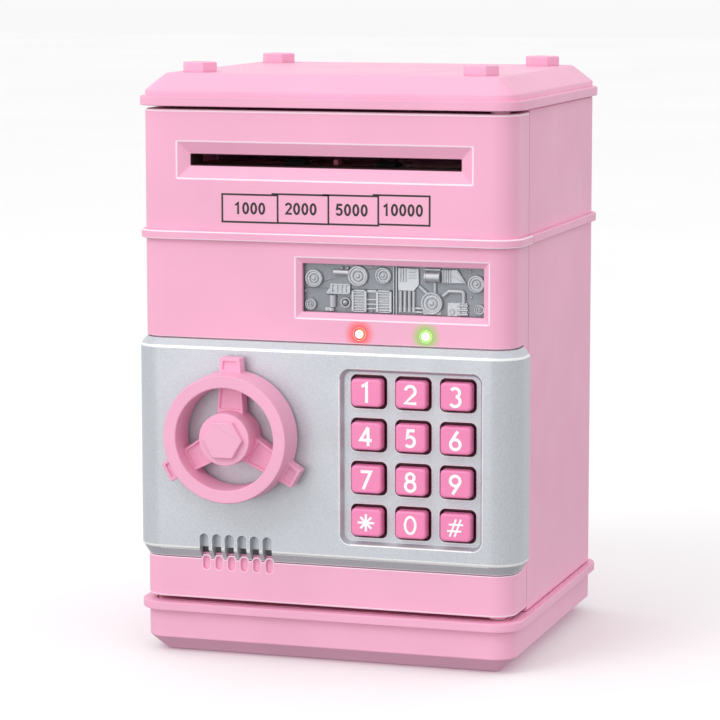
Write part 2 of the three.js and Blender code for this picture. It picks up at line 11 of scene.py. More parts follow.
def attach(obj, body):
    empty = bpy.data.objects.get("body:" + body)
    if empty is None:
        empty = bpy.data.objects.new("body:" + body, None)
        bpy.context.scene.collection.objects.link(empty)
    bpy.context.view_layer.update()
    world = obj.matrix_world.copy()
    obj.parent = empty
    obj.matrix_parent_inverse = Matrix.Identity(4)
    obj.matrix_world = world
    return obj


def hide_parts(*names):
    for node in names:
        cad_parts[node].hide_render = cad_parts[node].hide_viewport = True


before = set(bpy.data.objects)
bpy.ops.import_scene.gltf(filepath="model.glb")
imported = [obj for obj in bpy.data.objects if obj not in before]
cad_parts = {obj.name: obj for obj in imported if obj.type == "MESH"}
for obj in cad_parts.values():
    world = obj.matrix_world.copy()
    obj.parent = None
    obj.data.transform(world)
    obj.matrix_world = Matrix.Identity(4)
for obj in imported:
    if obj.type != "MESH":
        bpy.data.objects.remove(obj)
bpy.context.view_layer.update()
SCENE = bpy.context.scene
MM = 0.001
PI = math.pi

# ------------------------------------------------------------------ dimensions (as the CAD frame)
W, D = 123.5, 108.2
HX, HY = W / 2, D / 2
RC, WALL = 7.2, 2.5
FL_Z0, FL_Z1, FL_PR = 13.9, 16.7, 2.1
RG_Z0, RG_Z1, RG_PR = 134.35, 137.2, 1.54
BODY_Z0, BODY_Z1, BOSS_TOP = 17.0, 176.3, 26.8
LID_Z0, LID_Z1, LID_PR, LID_Z2, LID_TOP, LID_IN = 176.6, 179.7, 1.63, 181.7, 186.8, 6.9
CAP_TOP, CAP_AF, CAP_X, CAP_Y = 190.0, 10.0, 46.7, 38.3
DOOR_Z0, DOOR_Z1, SEAM_DOOR, SEAM_BODY = 18.2, 175.6, -36.2, -35.8
PIVOT = (55.6, -48.0)
SLOT = (-44.7, 44.2, 158.0, 161.3)
WIN = (-7.4, 51.85, 112.5, 127.85)
LED_X, LED_Z = (11.84, 33.5), 106.2
PAN_Z0, PAN_Z1, PAN_PR, PAN_END = 31.8, 102.6, 2.1, -41.0
KEYPAD, KEYPAD_R = (5.94, 52.35, 39.38, 95.25), 3.3
KEY_X, KEY_Z = (14.9, 29.45, 44.05), (88.05, 74.3, 60.55, 46.8)
KEY_W, KEY_H, KEY_FRONT, KEY_HOLE = 10.0, 8.8, -57.1, 0.9
VENT_X = [-39.88 + 4.278 * i for i in range(6)]
VENT_R, VENT_TOP = 1.52, 38.41
WX, WZ = -28.6, 72.8
L0 = HX - RC
PAN_F = -HY - PAN_PR


# ------------------------------------------------------------------ loops
def rr(x0, x1, y0, y1, r, n=6):
    r = max(r, 0.02)
    out = []
    for cx, cy, a0 in ((x1 - r, y0 + r, -PI / 2), (x1 - r, y1 - r, 0), (x0 + r, y1 - r, PI / 2), (x0 + r, y0 + r, PI)):
        for i in range(n + 1):
            a = a0 + i / n * PI / 2
            out.append((cx + r * math.cos(a), cy + r * math.sin(a)))
    return out


def circ(cx, cy, r, n=40, ph=0.0):
    return [(cx + r * math.cos(ph + 2 * PI * i / n), cy + r * math.sin(ph + 2 * PI * i / n)) for i in range(n)]


def capsule(x, z0, z1, r, n=10):
    """Upright slot with round ends, from z0 to z1."""
    out = []
    for i in range(n + 1):
        a = PI + PI * i / n
        out.append((x + r * math.cos(a), z0 + r + r * math.sin(a)))
    for i in range(n + 1):
        a = PI * i / n
        out.append((x + r * math.cos(a), z1 - r + r * math.sin(a)))
    return out


def offset(loop, s):
    """Grows an anticlockwise loop by s along its mitres."""
    if abs(s) < 1e-9:
        return list(loop)
    out, n = [], len(loop)
    for i in range(n):
        (ax, ay), (bx, by), (cx, cy) = loop[i - 1], loop[i], loop[(i + 1) % n]
        e1, e2 = Vector((bx - ax, by - ay)), Vector((cx - bx, cy - by))
        if e1.length < 1e-9:
            e1 = e2
        if e2.length < 1e-9:
            e2 = e1
        e1.normalize(), e2.normalize()
        n1, n2 = Vector((e1.y, -e1.x)), Vector((e2.y, -e2.x))
        k = max(1 + n1.dot(n2), 0.35)
        m = (n1 + n2) / k
        out.append((bx + m.x * s, by + m.y * s))
    return out


def grow(box, s, r=0.3, n=3):
    return rr(box[0] - s, box[1] + s, box[2] - s, box[3] + s, r, n)


def rounded(pts, r, n=4):
    """Polygon with each corner rounded: r is one radius or one for each corner."""
    out, m = [], len(pts)
    for i in range(m):
        a, b, c = Vector(pts[i - 1]), Vector(pts[i]), Vector(pts[(i + 1) % m])
        rad = r[i] if isinstance(r, (list, tuple)) else r
        d1, d2 = (a - b), (c - b)
        l1, l2 = d1.length, d2.length
        d1.normalize(), d2.normalize()
        ang = math.acos(max(-1, min(1, d1.dot(d2))))
        if rad <= 0 or ang > PI - 0.22:
            out.append(tuple(b))
            continue
        t = min(rad / math.tan(ang / 2), 0.48 * l1, 0.48 * l2)
        rad = t * math.tan(ang / 2)
        p1, p2 = b + d1 * t, b + d2 * t
        centre = b + (d1 + d2).normalized() * (rad / math.sin(ang / 2))
        v1, v2 = p1 - centre, p2 - centre
        tot = v1.angle_signed(v2) if hasattr(v1, "angle_signed") else 0
        a1 = math.atan2(v1.y, v1.x)
        a2 = math.atan2(v2.y, v2.x)
        da = (a2 - a1 + PI) % (2 * PI) - PI
        for k in range(n + 1):
            t_ = a1 + da * k / n
            out.append((centre.x + rad * math.cos(t_), centre.y + rad * math.sin(t_)))
    return out


def outline(o, n=12):
    return rr(-HX - o, HX + o, -HY - o, HY + o, max(RC + o, 0.3), n)


def front_path(o, yb, n=12):
    """Round the front from the left seam to the right one."""
    r = RC + o
    out = [(-HX - o, yb)]
    for i in range(n + 1):
        a = PI + i / n * PI / 2
        out.append((-L0 + r * math.cos(a), -HY + RC + r * math.sin(a)))
    for i in range(n + 1):
        a = -PI / 2 + i / n * PI / 2
        out.append((L0 + r * math.cos(a), -HY + RC + r * math.sin(a)))
    out.append((HX + o, yb))
    return out


def back_path(o, yf, n=12):
    """Round the back from the right seam to the left one."""
    return [(-x, -y) for x, y in front_path(o, -yf, n)]


# ------------------------------------------------------------------ meshes
class Solid:
    def __init__(self):
        self.v, self.f, self.m = [], [], []

    def add(self, verts, faces, mi=0):
        k = len(self.v)
        self.v += [tuple(p) for p in verts]
        self.f += [tuple(i + k for i in f) for f in faces]
        self.m += [mi] * len(faces)
        return self

    def rings(self, rings, mi=0, caps=True, closed=False):
        """Joins equal rings of points; caps fills both ends; closed joins the last ring to the first."""
        n = len(rings[0])
        verts = [p for r in rings for p in r]
        faces = []
        k = len(rings)
        for a in range(k if closed else k - 1):
            b = (a + 1) % k
            for i in range(n):
                j = (i + 1) % n
                faces.append((a * n + i, a * n + j, b * n + j, b * n + i))
        if caps and not closed:
            faces.append(tuple(reversed(range(n))))
            faces.append(tuple((k - 1) * n + i for i in range(n)))
        return self.add(verts, faces, mi)

    def join(self, other, mi=None):
        k = len(self.v)
        self.v += other.v
        self.f += [tuple(i + k for i in f) for f in other.f]
        self.m += [x if mi is None else mi for x in other.m]
        return self

    def moved(self, dx=0, dy=0, dz=0):
        s = Solid()
        s.v = [(x + dx, y + dy, z + dz) for x, y, z in self.v]
        s.f, s.m = list(self.f), list(self.m)
        return s

    def turned_y(self, deg, cx=0, cz=0):
        c, n = math.cos(math.radians(deg)), math.sin(math.radians(deg))
        s = Solid()
        s.v = [(cx + (x - cx) * c - (z - cz) * n, y, cz + (x - cx) * n + (z - cz) * c) for x, y, z in self.v]
        s.f, s.m = list(self.f), list(self.m)
        return s


Y3 = lambda loop, y: [(x, y, z) for x, z in loop]
Z3 = lambda loop, z: [(x, y, z) for x, y in loop]
X3 = lambda loop, x: [(x, y, z) for y, z in loop]


def fillet(r, n=3):
    """(inset, depth) pairs of a quarter round, from the face to the wall."""
    return [(r * (1 - math.sin(k / n * PI / 2)), r * (1 - math.cos(k / n * PI / 2))) for k in range(n + 1)]


def prism(P3, loop, a, b, ra=0.0, rb=0.0, n=3):
    """Straight solid from a to b along an axis, its edges rounded by ra at a and rb at b."""
    s = 1 if b > a else -1
    rows = [P3(offset(loop, -i), a + s * d) for i, d in fillet(ra, n)] if ra else [P3(loop, a)]
    rows += [P3(offset(loop, -i), b - s * d) for i, d in reversed(fillet(rb, n))] if rb else [P3(loop, b)]
    return Solid().rings(rows)


def hole(P3, loop, face, floor, r=0.25, n=3, out=1.0, rb=0.0):
    """Cutter that goes in at face and down to floor, and rounds the edge of its mouth by r."""
    s = 1 if floor > face else -1
    rows = [P3(offset(loop, r), face - s * out)]
    f = fillet(r, n)
    rows += [P3(offset(loop, i), face + s * (d if k else -0.004)) for k, (i, d) in enumerate(f)]
    rows += [P3(offset(loop, -i), floor - s * d) for i, d in reversed(fillet(rb, 2))] if rb else [P3(loop, floor)]
    return Solid().rings(rows)


def lathe(profile, axis, cx=0.0, cy=0.0, n=48):
    """Turned solid: profile is (radius, height) along the axis, from one end on the axis to the other, or closed."""
    s, rows = Solid(), []
    on_axis = profile[0][0] < 1e-6 and profile[-1][0] < 1e-6
    for r, h in profile:
        r = max(r, 1e-6)
        c = circ(0, 0, r, n)
        if axis == "y":
            rows.append([(cx + a, h, cy + b) for a, b in c])
        elif axis == "z":
            rows.append([(cx + a, cy + b, h) for a, b in c])
        else:
            rows.append([(h, cx + a, cy + b) for a, b in c])
    return s.rings(rows, caps=on_axis, closed=not on_axis)


def tube(path, r, n=12, cap=True):
    """Round tube along 3-D points, radius r."""
    rows, up = [], Vector((0, 1, 0))
    pts = [Vector(p) for p in path]
    for i, p in enumerate(pts):
        d = (pts[min(i + 1, len(pts) - 1)] - pts[max(i - 1, 0)]).normalized()
        a = d.cross(up)
        if a.length < 1e-3:
            a = d.cross(Vector((1, 0, 0)))
        a.normalize()
        b = d.cross(a).normalized()
        rows.append([tuple(p + a * r * math.cos(2 * PI * k / n) + b * r * math.sin(2 * PI * k / n)) for k in range(n)])
    return Solid().rings(rows)


def to_mesh(s, name="m"):
    me = bpy.data.meshes.new(name)
    me.from_pydata([(x * MM, y * MM, z * MM) for x, y, z in s.v], [], s.f)
    me.polygons.foreach_set("material_index", s.m)
    bm = bmesh.new()
    bm.from_mesh(me)
    bmesh.ops.remove_doubles(bm, verts=bm.verts, dist=2e-7)
    bmesh.ops.dissolve_degenerate(bm, edges=bm.edges, dist=1e-7)
    bmesh.ops.recalc_face_normals(bm, faces=bm.faces)
    bm.to_mesh(me)
    bm.free()
    return me


def boolean(base, cutter, op="DIFFERENCE", own=False):
    """base and cutter are Solids or meshes; returns a mesh."""
    ma = to_mesh(base) if isinstance(base, Solid) else base
    mb = to_mesh(cutter) if isinstance(cutter, Solid) else cutter
    oa, ob = bpy.data.objects.new("a", ma), bpy.data.objects.new("b", mb)
    for o in (oa, ob):
        SCENE.collection.objects.link(o)
    mod = oa.modifiers.new("b", "BOOLEAN")
    mod.operation, mod.object, mod.solver, mod.use_self = op, ob, "EXACT", own
    dg = bpy.context.evaluated_depsgraph_get()
    dg.update()
    me = bpy.data.meshes.new_from_object(oa.evaluated_get(dg))
    bpy.data.objects.remove(oa)
    bpy.data.objects.remove(ob)
    return me


def merged(*meshes):
    """One mesh out of Solids and meshes."""
    bm = bmesh.new()
    for m in meshes:
        bm.from_mesh(to_mesh(m) if isinstance(m, Solid) else m)
    me = bpy.data.meshes.new("merged")
    bm.to_mesh(me)
    bm.free()
    return me


def cut_up(me):
    """Splits every many-sided face into triangles that stay inside its outline."""
    bm = bmesh.new()
    bm.from_mesh(me)
    for f in [f for f in bm.faces if len(f.verts) > 4]:
        n, vs = f.normal.copy(), list(f.verts)
        ax = Vector((1, 0, 0)) if abs(n.x) < 0.8 else Vector((0, 1, 0))
        e1 = (ax - n * ax.dot(n)).normalized()
        e2 = n.cross(e1)
        pts = [Vector((v.co.dot(e1) / MM, v.co.dot(e2) / MM)) for v in vs]
        loop = [tuple(p) for p in pts]
        try:
            out, _, tris, orig, *_ = delaunay_2d_cdt(pts, [(i, (i + 1) % len(pts)) for i in range(len(pts))], [], 0, 1e-6)
        except Exception:
            continue
        if len(out) != len(pts) or any(len(q) != 1 for q in orig):
            continue
        keep, total = [], 0.0
        for t in tris:
            p = [out[i] for i in t]
            if inside((sum(q[0] for q in p) / 3, sum(q[1] for q in p) / 3), loop):
                keep.append([orig[i][0] for i in t])
                total += abs((p[1][0] - p[0][0]) * (p[2][1] - p[0][1]) - (p[1][1] - p[0][1]) * (p[2][0] - p[0][0])) / 2
        if abs(total - f.calc_area() / MM / MM) > 0.01 * total + 1e-3:
            continue
        mi = f.material_index
        bm.faces.remove(f)
        for t in keep:
            try:
                g = bm.faces.new([vs[i] for i in t])
                g.material_index = mi
            except ValueError:
                pass
    bmesh.ops.recalc_face_normals(bm, faces=bm.faces)
    bm.to_mesh(me)
    bm.free()


def shade(me, sharp, wide=1.3):
    """Flat faces shade flat right up to their edges; fillets and round walls between them shade smooth. Returns which
    faces are narrow convex fillets, for the painted edge highlight.
    """
    bm = bmesh.new()
    bm.from_mesh(me)
    bm.faces.ensure_lookup_table()
    bm.faces.index_update()
    area = [f.calc_area() / MM / MM for f in bm.faces]
    nor = [f.normal.copy() for f in bm.faces]
    region = [-1] * len(bm.faces)
    flat = []
    for f in bm.faces:
        if region[f.index] >= 0:
            continue
        k, todo, a, n0 = len(flat), [f], 0.0, nor[f.index]
        region[f.index] = k
        lo, hi = [1e9] * 3, [-1e9] * 3
        while todo:
            g = todo.pop()
            a += area[g.index]
            for v in g.verts:
                for i in range(3):
                    c = v.co[i] / MM
                    lo[i], hi[i] = min(lo[i], c), max(hi[i], c)
            for e in g.edges:
                for h in e.link_faces:
                    if region[h.index] < 0 and nor[h.index].dot(n0) > 0.99996:
                        region[h.index] = k
                        todo.append(h)
        span = math.sqrt(sum((hi[i] - lo[i]) ** 2 for i in range(3)))
        flat.append((a > 1.2 and a / max(span, 1e-3) > wide, a, n0, a / max(span, 1e-3)))
    cos_s = math.cos(math.radians(sharp))
    out = []
    for f in bm.faces:
        fi = f.index
        big = flat[region[fi]]
        for l in f.loops:
            if big[0]:
                out.append(big[2])
                continue
            best, acc = None, Vector()
            for g in l.vert.link_faces:
                gi = g.index
                if nor[gi].dot(nor[fi]) < cos_s:
                    continue
                r = flat[region[gi]]
                if r[0] and (best is None or r[1] > best[0]):
                    best = (r[1], r[2])
                acc += nor[gi] * max(area[gi], 1e-6)
            out.append(best[1] if best else (acc.normalized() if acc.length > 1e-9 else nor[fi]))
    # rim: narrow convex fillet faces, which piece() gives a lighter copy of the material as a painted highlight along
    # the edges
    rim = []
    for f in bm.faces:
        r = region[f.index]
        ok = not flat[r][0] and flat[r][3] < 0.41
        if ok:
            ang = [e.calc_face_angle_signed(0.0) for e in f.edges if len(e.link_faces) == 2]
            ok = bool(ang) and max(ang) > 0.12 and min(ang) > -0.12
        rim.append(ok)
    bm.free()
    me.shade_smooth()
    me.normals_split_custom_set([tuple(v) for v in out])
    return rim


def piece(name, shape, mats, body, replaces=(), sharp=38, faces=None, wide=1.3):
    me = to_mesh(shape, name) if isinstance(shape, Solid) else shape
    me.name = name
    cut_up(me)
    keep = [p.material_index for p in me.polygons]
    me.materials.clear()
    for m in mats if isinstance(mats, (list, tuple)) else [mats]:
        me.materials.append(m)
    top = len(me.materials) - 1
    me.polygons.foreach_set("material_index", [min(k, top) for k in keep])
    if faces:
        faces(me)
    rim = shade(me, sharp, wide)
    # narrow convex fillets take a lighter copy of the first material: a painted edge highlight
    edge_highlight_mat = EDGE_HIGHLIGHT_PAINT.get(me.materials[0].name)
    if edge_highlight_mat:
        me.materials.append(edge_highlight_mat)
        last = len(me.materials) - 1
        for p, r in zip(me.polygons, rim):
            if r and p.material_index == 0:
                p.material_index = last
    o = bpy.data.objects.new(name, me)
    SCENE.collection.objects.link(o)
    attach(o, body)
    if replaces:
        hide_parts(*([replaces] if isinstance(replaces, str) else replaces))
    return o


def polish(node, mat, width=0.25, angle=40, segments=2):
    """A CAD node keeps its shape: its edges are rounded, and it gets a finish."""
    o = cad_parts[node]
    o.data.materials.clear()
    o.data.materials.append(mat)
    w = o.modifiers.new("weld", "WELD")
    w.merge_threshold = 2e-6
    b = o.modifiers.new("bevel", "BEVEL")
    b.limit_method, b.angle_limit = "ANGLE", math.radians(angle)
    b.width, b.segments, b.use_clamp_overlap = width * MM, segments, True
    wn = o.modifiers.new("weighted", "WEIGHTED_NORMAL")
    wn.mode, wn.weight, wn.keep_sharp = "FACE_AREA", 50, True
    for p in o.data.polygons:
        p.use_smooth = True
    return o


# ------------------------------------------------------------------ curved front: (u, z) unrolled round the door
def bend(u, z, o):
    """Point at arc length u from the middle of the front, height z, offset o out of the body's surface."""
    a, sgn = abs(u), 1 if u >= 0 else -1
    quarter = RC * PI / 2
    if a <= L0:
        return (u, -HY - o, z)
    if a <= L0 + quarter:
        t = (a - L0) / RC
        return (sgn * (L0 + (RC + o) * math.sin(t)), -HY + RC - (RC + o) * math.cos(t), z)
    return (sgn * (HX + o), -HY + RC + (a - L0 - quarter), z)


ARC_U = [L0 + RC * PI / 2 * k / 12 for k in range(13)]


def inside(p, loop):
    x, y = p
    c, n = False, len(loop)
    j = n - 1
    for i in range(n):
        (xi, yi), (xj, yj) = loop[i], loop[j]
        if (yi > y) != (yj > y) and x < (xj - xi) * (y - yi) / (yj - yi) + xi:
            c = not c
        j = i
    return c


def bent_cap(loop, o):
    """Fills a loop in (u, z) with triangles that follow the corners."""
    pts = [Vector(p) for p in loop]
    edges = [(i, (i + 1) % len(loop)) for i in range(len(loop))]
    z0, z1 = min(p[1] for p in loop), max(p[1] for p in loop)
    for u in ARC_U:
        for s in (-1, 1):
            if min(p[0] for p in loop) < s * u < max(p[0] for p in loop):
                zs = sorted({round(p[1], 5) for p in loop if abs(p[0] - s * u) < 1e-4})
                if len(zs) < 2:
                    continue
                k = len(pts)
                pts += [Vector((s * u, zs[0])), Vector((s * u, zs[-1]))]
                edges.append((k, k + 1))
    v, _, f, *_ = delaunay_2d_cdt(pts, edges, [], 0, 1e-5)
    out = Solid()
    keep = []
    for t in f:
        c = (sum(v[i][0] for i in t) / 3, sum(v[i][1] for i in t) / 3)
        if inside(c, loop):
            keep.append(tuple(t))
    return out.add([bend(p[0], p[1], o) for p in v], keep)


def with_arc_points(loop):
    """Adds points to a loop's long runs where the body's corners bend, so that it follows them."""
    out, n = [], len(loop)
    for i in range(n):
        a, b = loop[i], loop[(i + 1) % n]
        out.append(a)
        if abs(a[1] - b[1]) < 1e-3 and abs(a[0] - b[0]) > 1:
            us = sorted(s * u for u in ARC_U for s in (-1, 1))
            mids = [u for u in us if min(a[0], b[0]) + 1e-3 < u < max(a[0], b[0]) - 1e-3]
            if b[0] < a[0]:
                mids.reverse()
            out += [(u, a[1]) for u in mids]
    return out


def bent_solid(rows):
    """Closed solid from rows of (loop in (u, z), offset), with curved caps at both ends."""
    rings = [[bend(u, z, o) for u, z in loop] for loop, o in rows]
    s = Solid().rings(rings, caps=False)
    s.join(bent_cap(*rows[0]))
    s.join(bent_cap(*rows[-1]))
    return s


# ------------------------------------------------------------------ materials
def srgb(r, g, b):
    f = lambda c: c / 12.92 if c <= 0.04045 else ((c + 0.055) / 1.055) ** 2.4
    return (f(r / 255), f(g / 255), f(b / 255), 1.0)


class Nodes:
    """A Principled material and short ways to wire procedural detail into it."""

    def __init__(self, name, **sockets):
        self.mat = bpy.data.materials.new(name)
        self.mat.use_nodes = True
        self.t = self.mat.node_tree
        self.b = next(n for n in self.t.nodes if n.type == "BSDF_PRINCIPLED")
        for k, v in sockets.items():
            self.b.inputs[k.replace("_", " ")].default_value = v
        self.co = self.t.nodes.new("ShaderNodeTexCoord").outputs["Object"]

    def node(self, kind, **props):
        n = self.t.nodes.new(kind)
        for k, v in props.items():
            setattr(n, k, v)
        return n

    def link(self, a, b):
        self.t.links.new(a, b)

    def noise(self, scale, detail=2.0, rough=0.5, co=None):
        n = self.node("ShaderNodeTexNoise")
        n.inputs["Scale"].default_value, n.inputs["Detail"].default_value = scale, detail
        n.inputs["Roughness"].default_value = rough
        self.link(co or self.co, n.inputs["Vector"])
        return n.outputs["Fac"]

    def ramp(self, fac, stops):
        n = self.node("ShaderNodeValToRGB")
        cr = n.color_ramp
        while len(cr.elements) < len(stops):
            cr.elements.new(0.5)
        for e, (p, c) in zip(cr.elements, stops):
            e.position, e.color = p, c
        self.link(fac, n.inputs["Fac"])
        return n.outputs["Color"]

    def range(self, fac, a, b, lo, hi):
        n = self.node("ShaderNodeMapRange")
        n.inputs["From Min"].default_value, n.inputs["From Max"].default_value = a, b
        n.inputs["To Min"].default_value, n.inputs["To Max"].default_value = lo, hi
        self.link(fac, n.inputs["Value"])
        return n.outputs["Result"]

    def mix(self, fac, a, b, mode="MIX"):
        n = self.node("ShaderNodeMix", data_type="RGBA", blend_type=mode)
        for sock, v in ((n.inputs[0], fac), (n.inputs[6], a), (n.inputs[7], b)):
            if isinstance(v, (int, float)) or isinstance(v, tuple):
                sock.default_value = v
            else:
                self.link(v, sock)
        return n.outputs[2]

    def bump(self, height, strength, dist):
        n = self.node("ShaderNodeBump")
        n.inputs["Strength"].default_value, n.inputs["Distance"].default_value = strength, dist
        self.link(height, n.inputs["Height"])
        self.link(n.outputs["Normal"], self.b.inputs["Normal"])
        return n


def plastic(name, c, vary=0.035, rough=(0.34, 0.46), coat=0.25, bump=0.05, grain=1500.0, **more):
    """Injection-moulded plastic: slight mottling, uneven gloss and a fine moulded grain."""
    m = Nodes(name, Coat_Weight=coat, Coat_Roughness=0.22, **more)
    dark = tuple(max(0, x * (1 - vary)) for x in c[:3]) + (1,)
    light = tuple(min(1, x * (1 + vary)) for x in c[:3]) + (1,)
    col = m.ramp(m.noise(22.0, 3.0, 0.55), [(0.35, dark), (0.65, light)])
    m.link(col, m.b.inputs["Base Color"])
    m.link(m.range(m.noise(60.0, 3.0, 0.6), 0.3, 0.7, *rough), m.b.inputs["Roughness"])
    m.bump(m.noise(grain, 2.0, 0.6), bump, 0.00012)
    return m


PINK_C = srgb(243, 177, 205)
KEYPINK_C = srgb(243, 132, 182)


def led_glow(m, col_in):
    """The lens's light on the plastic round it: a soft disc of colour about each lens."""
    sep = m.node("ShaderNodeSeparateXYZ")
    m.link(m.co, sep.inputs[0])
    out, emit = col_in, None
    for x, hot in ((LED_X[0], (0.86, 0.055, 0.02, 1)), (LED_X[1], (0.22, 0.56, 0.045, 1))):
        d = m.node("ShaderNodeVectorMath", operation="DISTANCE")
        m.link(m.co, d.inputs[0])
        d.inputs[1].default_value = (x * MM, -HY * MM, LED_Z * MM)
        fac = m.range(d.outputs["Value"], 0.0050, 0.0014, 0.0, 1.0)
        p = m.node("ShaderNodeMath", operation="POWER")
        m.link(fac, p.inputs[0])
        p.inputs[1].default_value = 0.9
        out = m.mix(p.outputs[0], out, hot)
        e = m.mix(p.outputs[0], (0, 0, 0, 1), hot)
        emit = e if emit is None else m.mix(1.0, emit, e, "ADD")
    m.link(out, m.b.inputs["Base Color"])
    m.link(emit, m.b.inputs["Emission Color"])
    m.b.inputs["Emission Strength"].default_value = 0.18
    return m


pink = plastic("pink_plastic", PINK_C, coat=0.03, Specular_IOR_Level=0.18)
pink_door = plastic("pink_plastic_door", PINK_C, coat=0.03, Specular_IOR_Level=0.18)
led_glow(pink_door, pink_door.b.inputs["Base Color"].links[0].from_socket)
pink_in = plastic("pink_plastic_inside", srgb(240, 164, 195), rough=(0.42, 0.55), coat=0.05, Specular_IOR_Level=0.3, )
key_pink = plastic("key_pink", KEYPINK_C, vary=0.03, rough=(0.3, 0.4), coat=0.35)
# dark maroon for the keys' sides below the panel's face: painted shade in the gaps round the keys
key_gap_painted_shade = plastic("key_skirt_painted_shade", srgb(96, 22, 52), vary=0.1, rough=(0.5, 0.6), coat=0.0)
white_ink = plastic("white_print", srgb(255, 255, 255), vary=0.01, rough=(0.45, 0.55), coat=0.0, bump=0.02)
black_ink = plastic("black_print", srgb(22, 14, 18), vary=0.2, rough=(0.4, 0.5), coat=0.0, bump=0.02)
# dark maroon for the walls inside the banknote slot: painted shade in the slot
slot_tunnel_painted_shade = plastic("slot_cavity_painted_shade", srgb(58, 20, 28), vary=0.2, rough=(0.6, 0.7), coat=0.0)
rubber = plastic("black_rubber", srgb(36, 37, 40), vary=0.15, rough=(0.62, 0.8), coat=0.0, bump=0.25, grain=900.0)
white_pl = plastic("white_plastic", srgb(236, 233, 226), rough=(0.45, 0.55), coat=0.05)
grey_pl = plastic("grey_plastic", srgb(126, 128, 132), rough=(0.45, 0.6), coat=0.05)
silicone = plastic("silicone_sheet", srgb(222, 219, 212), rough=(0.6, 0.7), coat=0.0)
guide_pink = plastic("guide_plastic", srgb(205, 112, 132), rough=(0.5, 0.6), coat=0.0)


def silver_paint(name, c, metal=0.3, rough=(0.36, 0.46), flake=0.10):
    """Silver-painted plastic: fine metal flake in the colour and in the gloss."""
    m = Nodes(name, Metallic=metal, Coat_Weight=0.2, Coat_Roughness=0.25)
    vor = m.node("ShaderNodeTexVoronoi")
    vor.inputs["Scale"].default_value = 5200.0
    m.link(m.co, vor.inputs["Vector"])
    dark = tuple(x * (1 - flake) for x in c[:3]) + (1,)
    light = tuple(min(1, x * (1 + flake)) for x in c[:3]) + (1,)
    col = m.ramp(vor.outputs["Color"], [(0.2, dark), (0.8, light)])
    soft = m.ramp(m.noise(18.0, 2.0), [(0.3, (0.97, 0.97, 0.97, 1)), (0.7, (1, 1, 1, 1))])
    col = m.mix(1.0, col, soft, "MULTIPLY")
    m.link(col, m.b.inputs["Base Color"])
    m.link(m.range(m.noise(70.0, 3.0), 0.3, 0.7, *rough), m.b.inputs["Roughness"])
    m.bump(m.noise(2600.0, 2.0), 0.06, 0.0001)
    return m


silver = silver_paint("silver_paint", srgb(196, 200, 206))
# darker copy of the relief's silver for its backing: painted shade round the raised features
relief_backing_painted_shade = silver_paint("relief_recess_painted_shade", srgb(134, 137, 144), metal=0.3)
relief = silver_paint("relief_silver", srgb(182, 185, 190), metal=0.4, rough=(0.3, 0.4))


def steel_finish(name, c, rough=(0.24, 0.4), stretch=(1, 1, 40)):
    m = Nodes(name, Metallic=1.0)
    mp = m.node("ShaderNodeMapping")
    mp.inputs["Scale"].default_value = stretch
    m.link(m.co, mp.inputs["Vector"])
    n = m.noise(420.0, 3.0, 0.6, mp.outputs["Vector"])
    m.link(m.ramp(n, [(0.3, tuple(x * 0.88 for x in c[:3]) + (1,)), (0.7, c)]), m.b.inputs["Base Color"])
    m.link(m.range(n, 0.3, 0.7, *rough), m.b.inputs["Roughness"])
    m.bump(n, 0.08, 0.00008)
    return m


steel = steel_finish("steel", srgb(190, 192, 196))
brass = steel_finish("brass", srgb(214, 178, 104))


def board():
    m = Nodes("circuit_board", Coat_Weight=0.5, Coat_Roughness=0.15, Roughness=0.4)
    br = m.node("ShaderNodeTexBrick")
    br.inputs["Scale"].default_value = 180.0
    br.inputs["Color1"].default_value = srgb(28, 98, 56)
    br.inputs["Color2"].default_value = srgb(24, 88, 50)
    br.inputs["Mortar"].default_value = srgb(48, 128, 78)
    br.inputs["Mortar Size"].default_value = 0.03
    m.link(m.co, br.inputs["Vector"])
    m.link(br.outputs["Color"], m.b.inputs["Base Color"])
    m.bump(m.noise(800.0), 0.05, 0.0001)
    return m


def wrap():
    """A cell's plain sleeve: a dark band and a copper-coloured end, along X."""
    m = Nodes("battery_sleeve", Metallic=0.5, Coat_Weight=0.6, Coat_Roughness=0.12)
    sep = m.node("ShaderNodeSeparateXYZ")
    m.link(m.co, sep.inputs[0])
    fac = m.range(sep.outputs["X"], -0.0046, 0.0450, 0.0, 1.0)
    col = m.ramp(fac, [(0.0, srgb(34, 38, 48)), (0.70, srgb(34, 38, 48)), (0.705, srgb(178, 120, 62)), (0.97, srgb(186, 128, 70)), (0.975, srgb(196, 198, 202))])
    m.link(col, m.b.inputs["Base Color"])
    m.link(m.range(m.noise(90.0), 0.3, 0.7, 0.22, 0.34), m.b.inputs["Roughness"])
    return m


pcb, sleeve = board(), wrap()


def lens(name, core, rim, at):
    """A lit lens: nearly white in the middle, its own colour towards the rim."""
    m = Nodes(name, Roughness=0.18, Coat_Weight=0.6, Coat_Roughness=0.05)
    d = m.node("ShaderNodeVectorMath", operation="DISTANCE")
    m.link(m.co, d.inputs[0])
    d.inputs[1].default_value = (at * MM, -0.0552, LED_Z * MM)
    col = m.ramp(m.range(d.outputs["Value"], 0.0, 0.0022, 0.0, 1.0), [(0.0, core), (0.45, core), (0.85, rim)])
    m.link(col, m.b.inputs["Base Color"])
    m.link(col, m.b.inputs["Emission Color"])
    m.b.inputs["Emission Strength"].default_value = 1.6
    return m


led_red = lens("led_red_lens", (1.0, 0.93, 0.86, 1), (1.0, 0.12, 0.02, 1), LED_X[0])
led_green = lens("led_green_lens", (0.97, 1.0, 0.92, 1), (0.28, 0.9, 0.08, 1), LED_X[1])
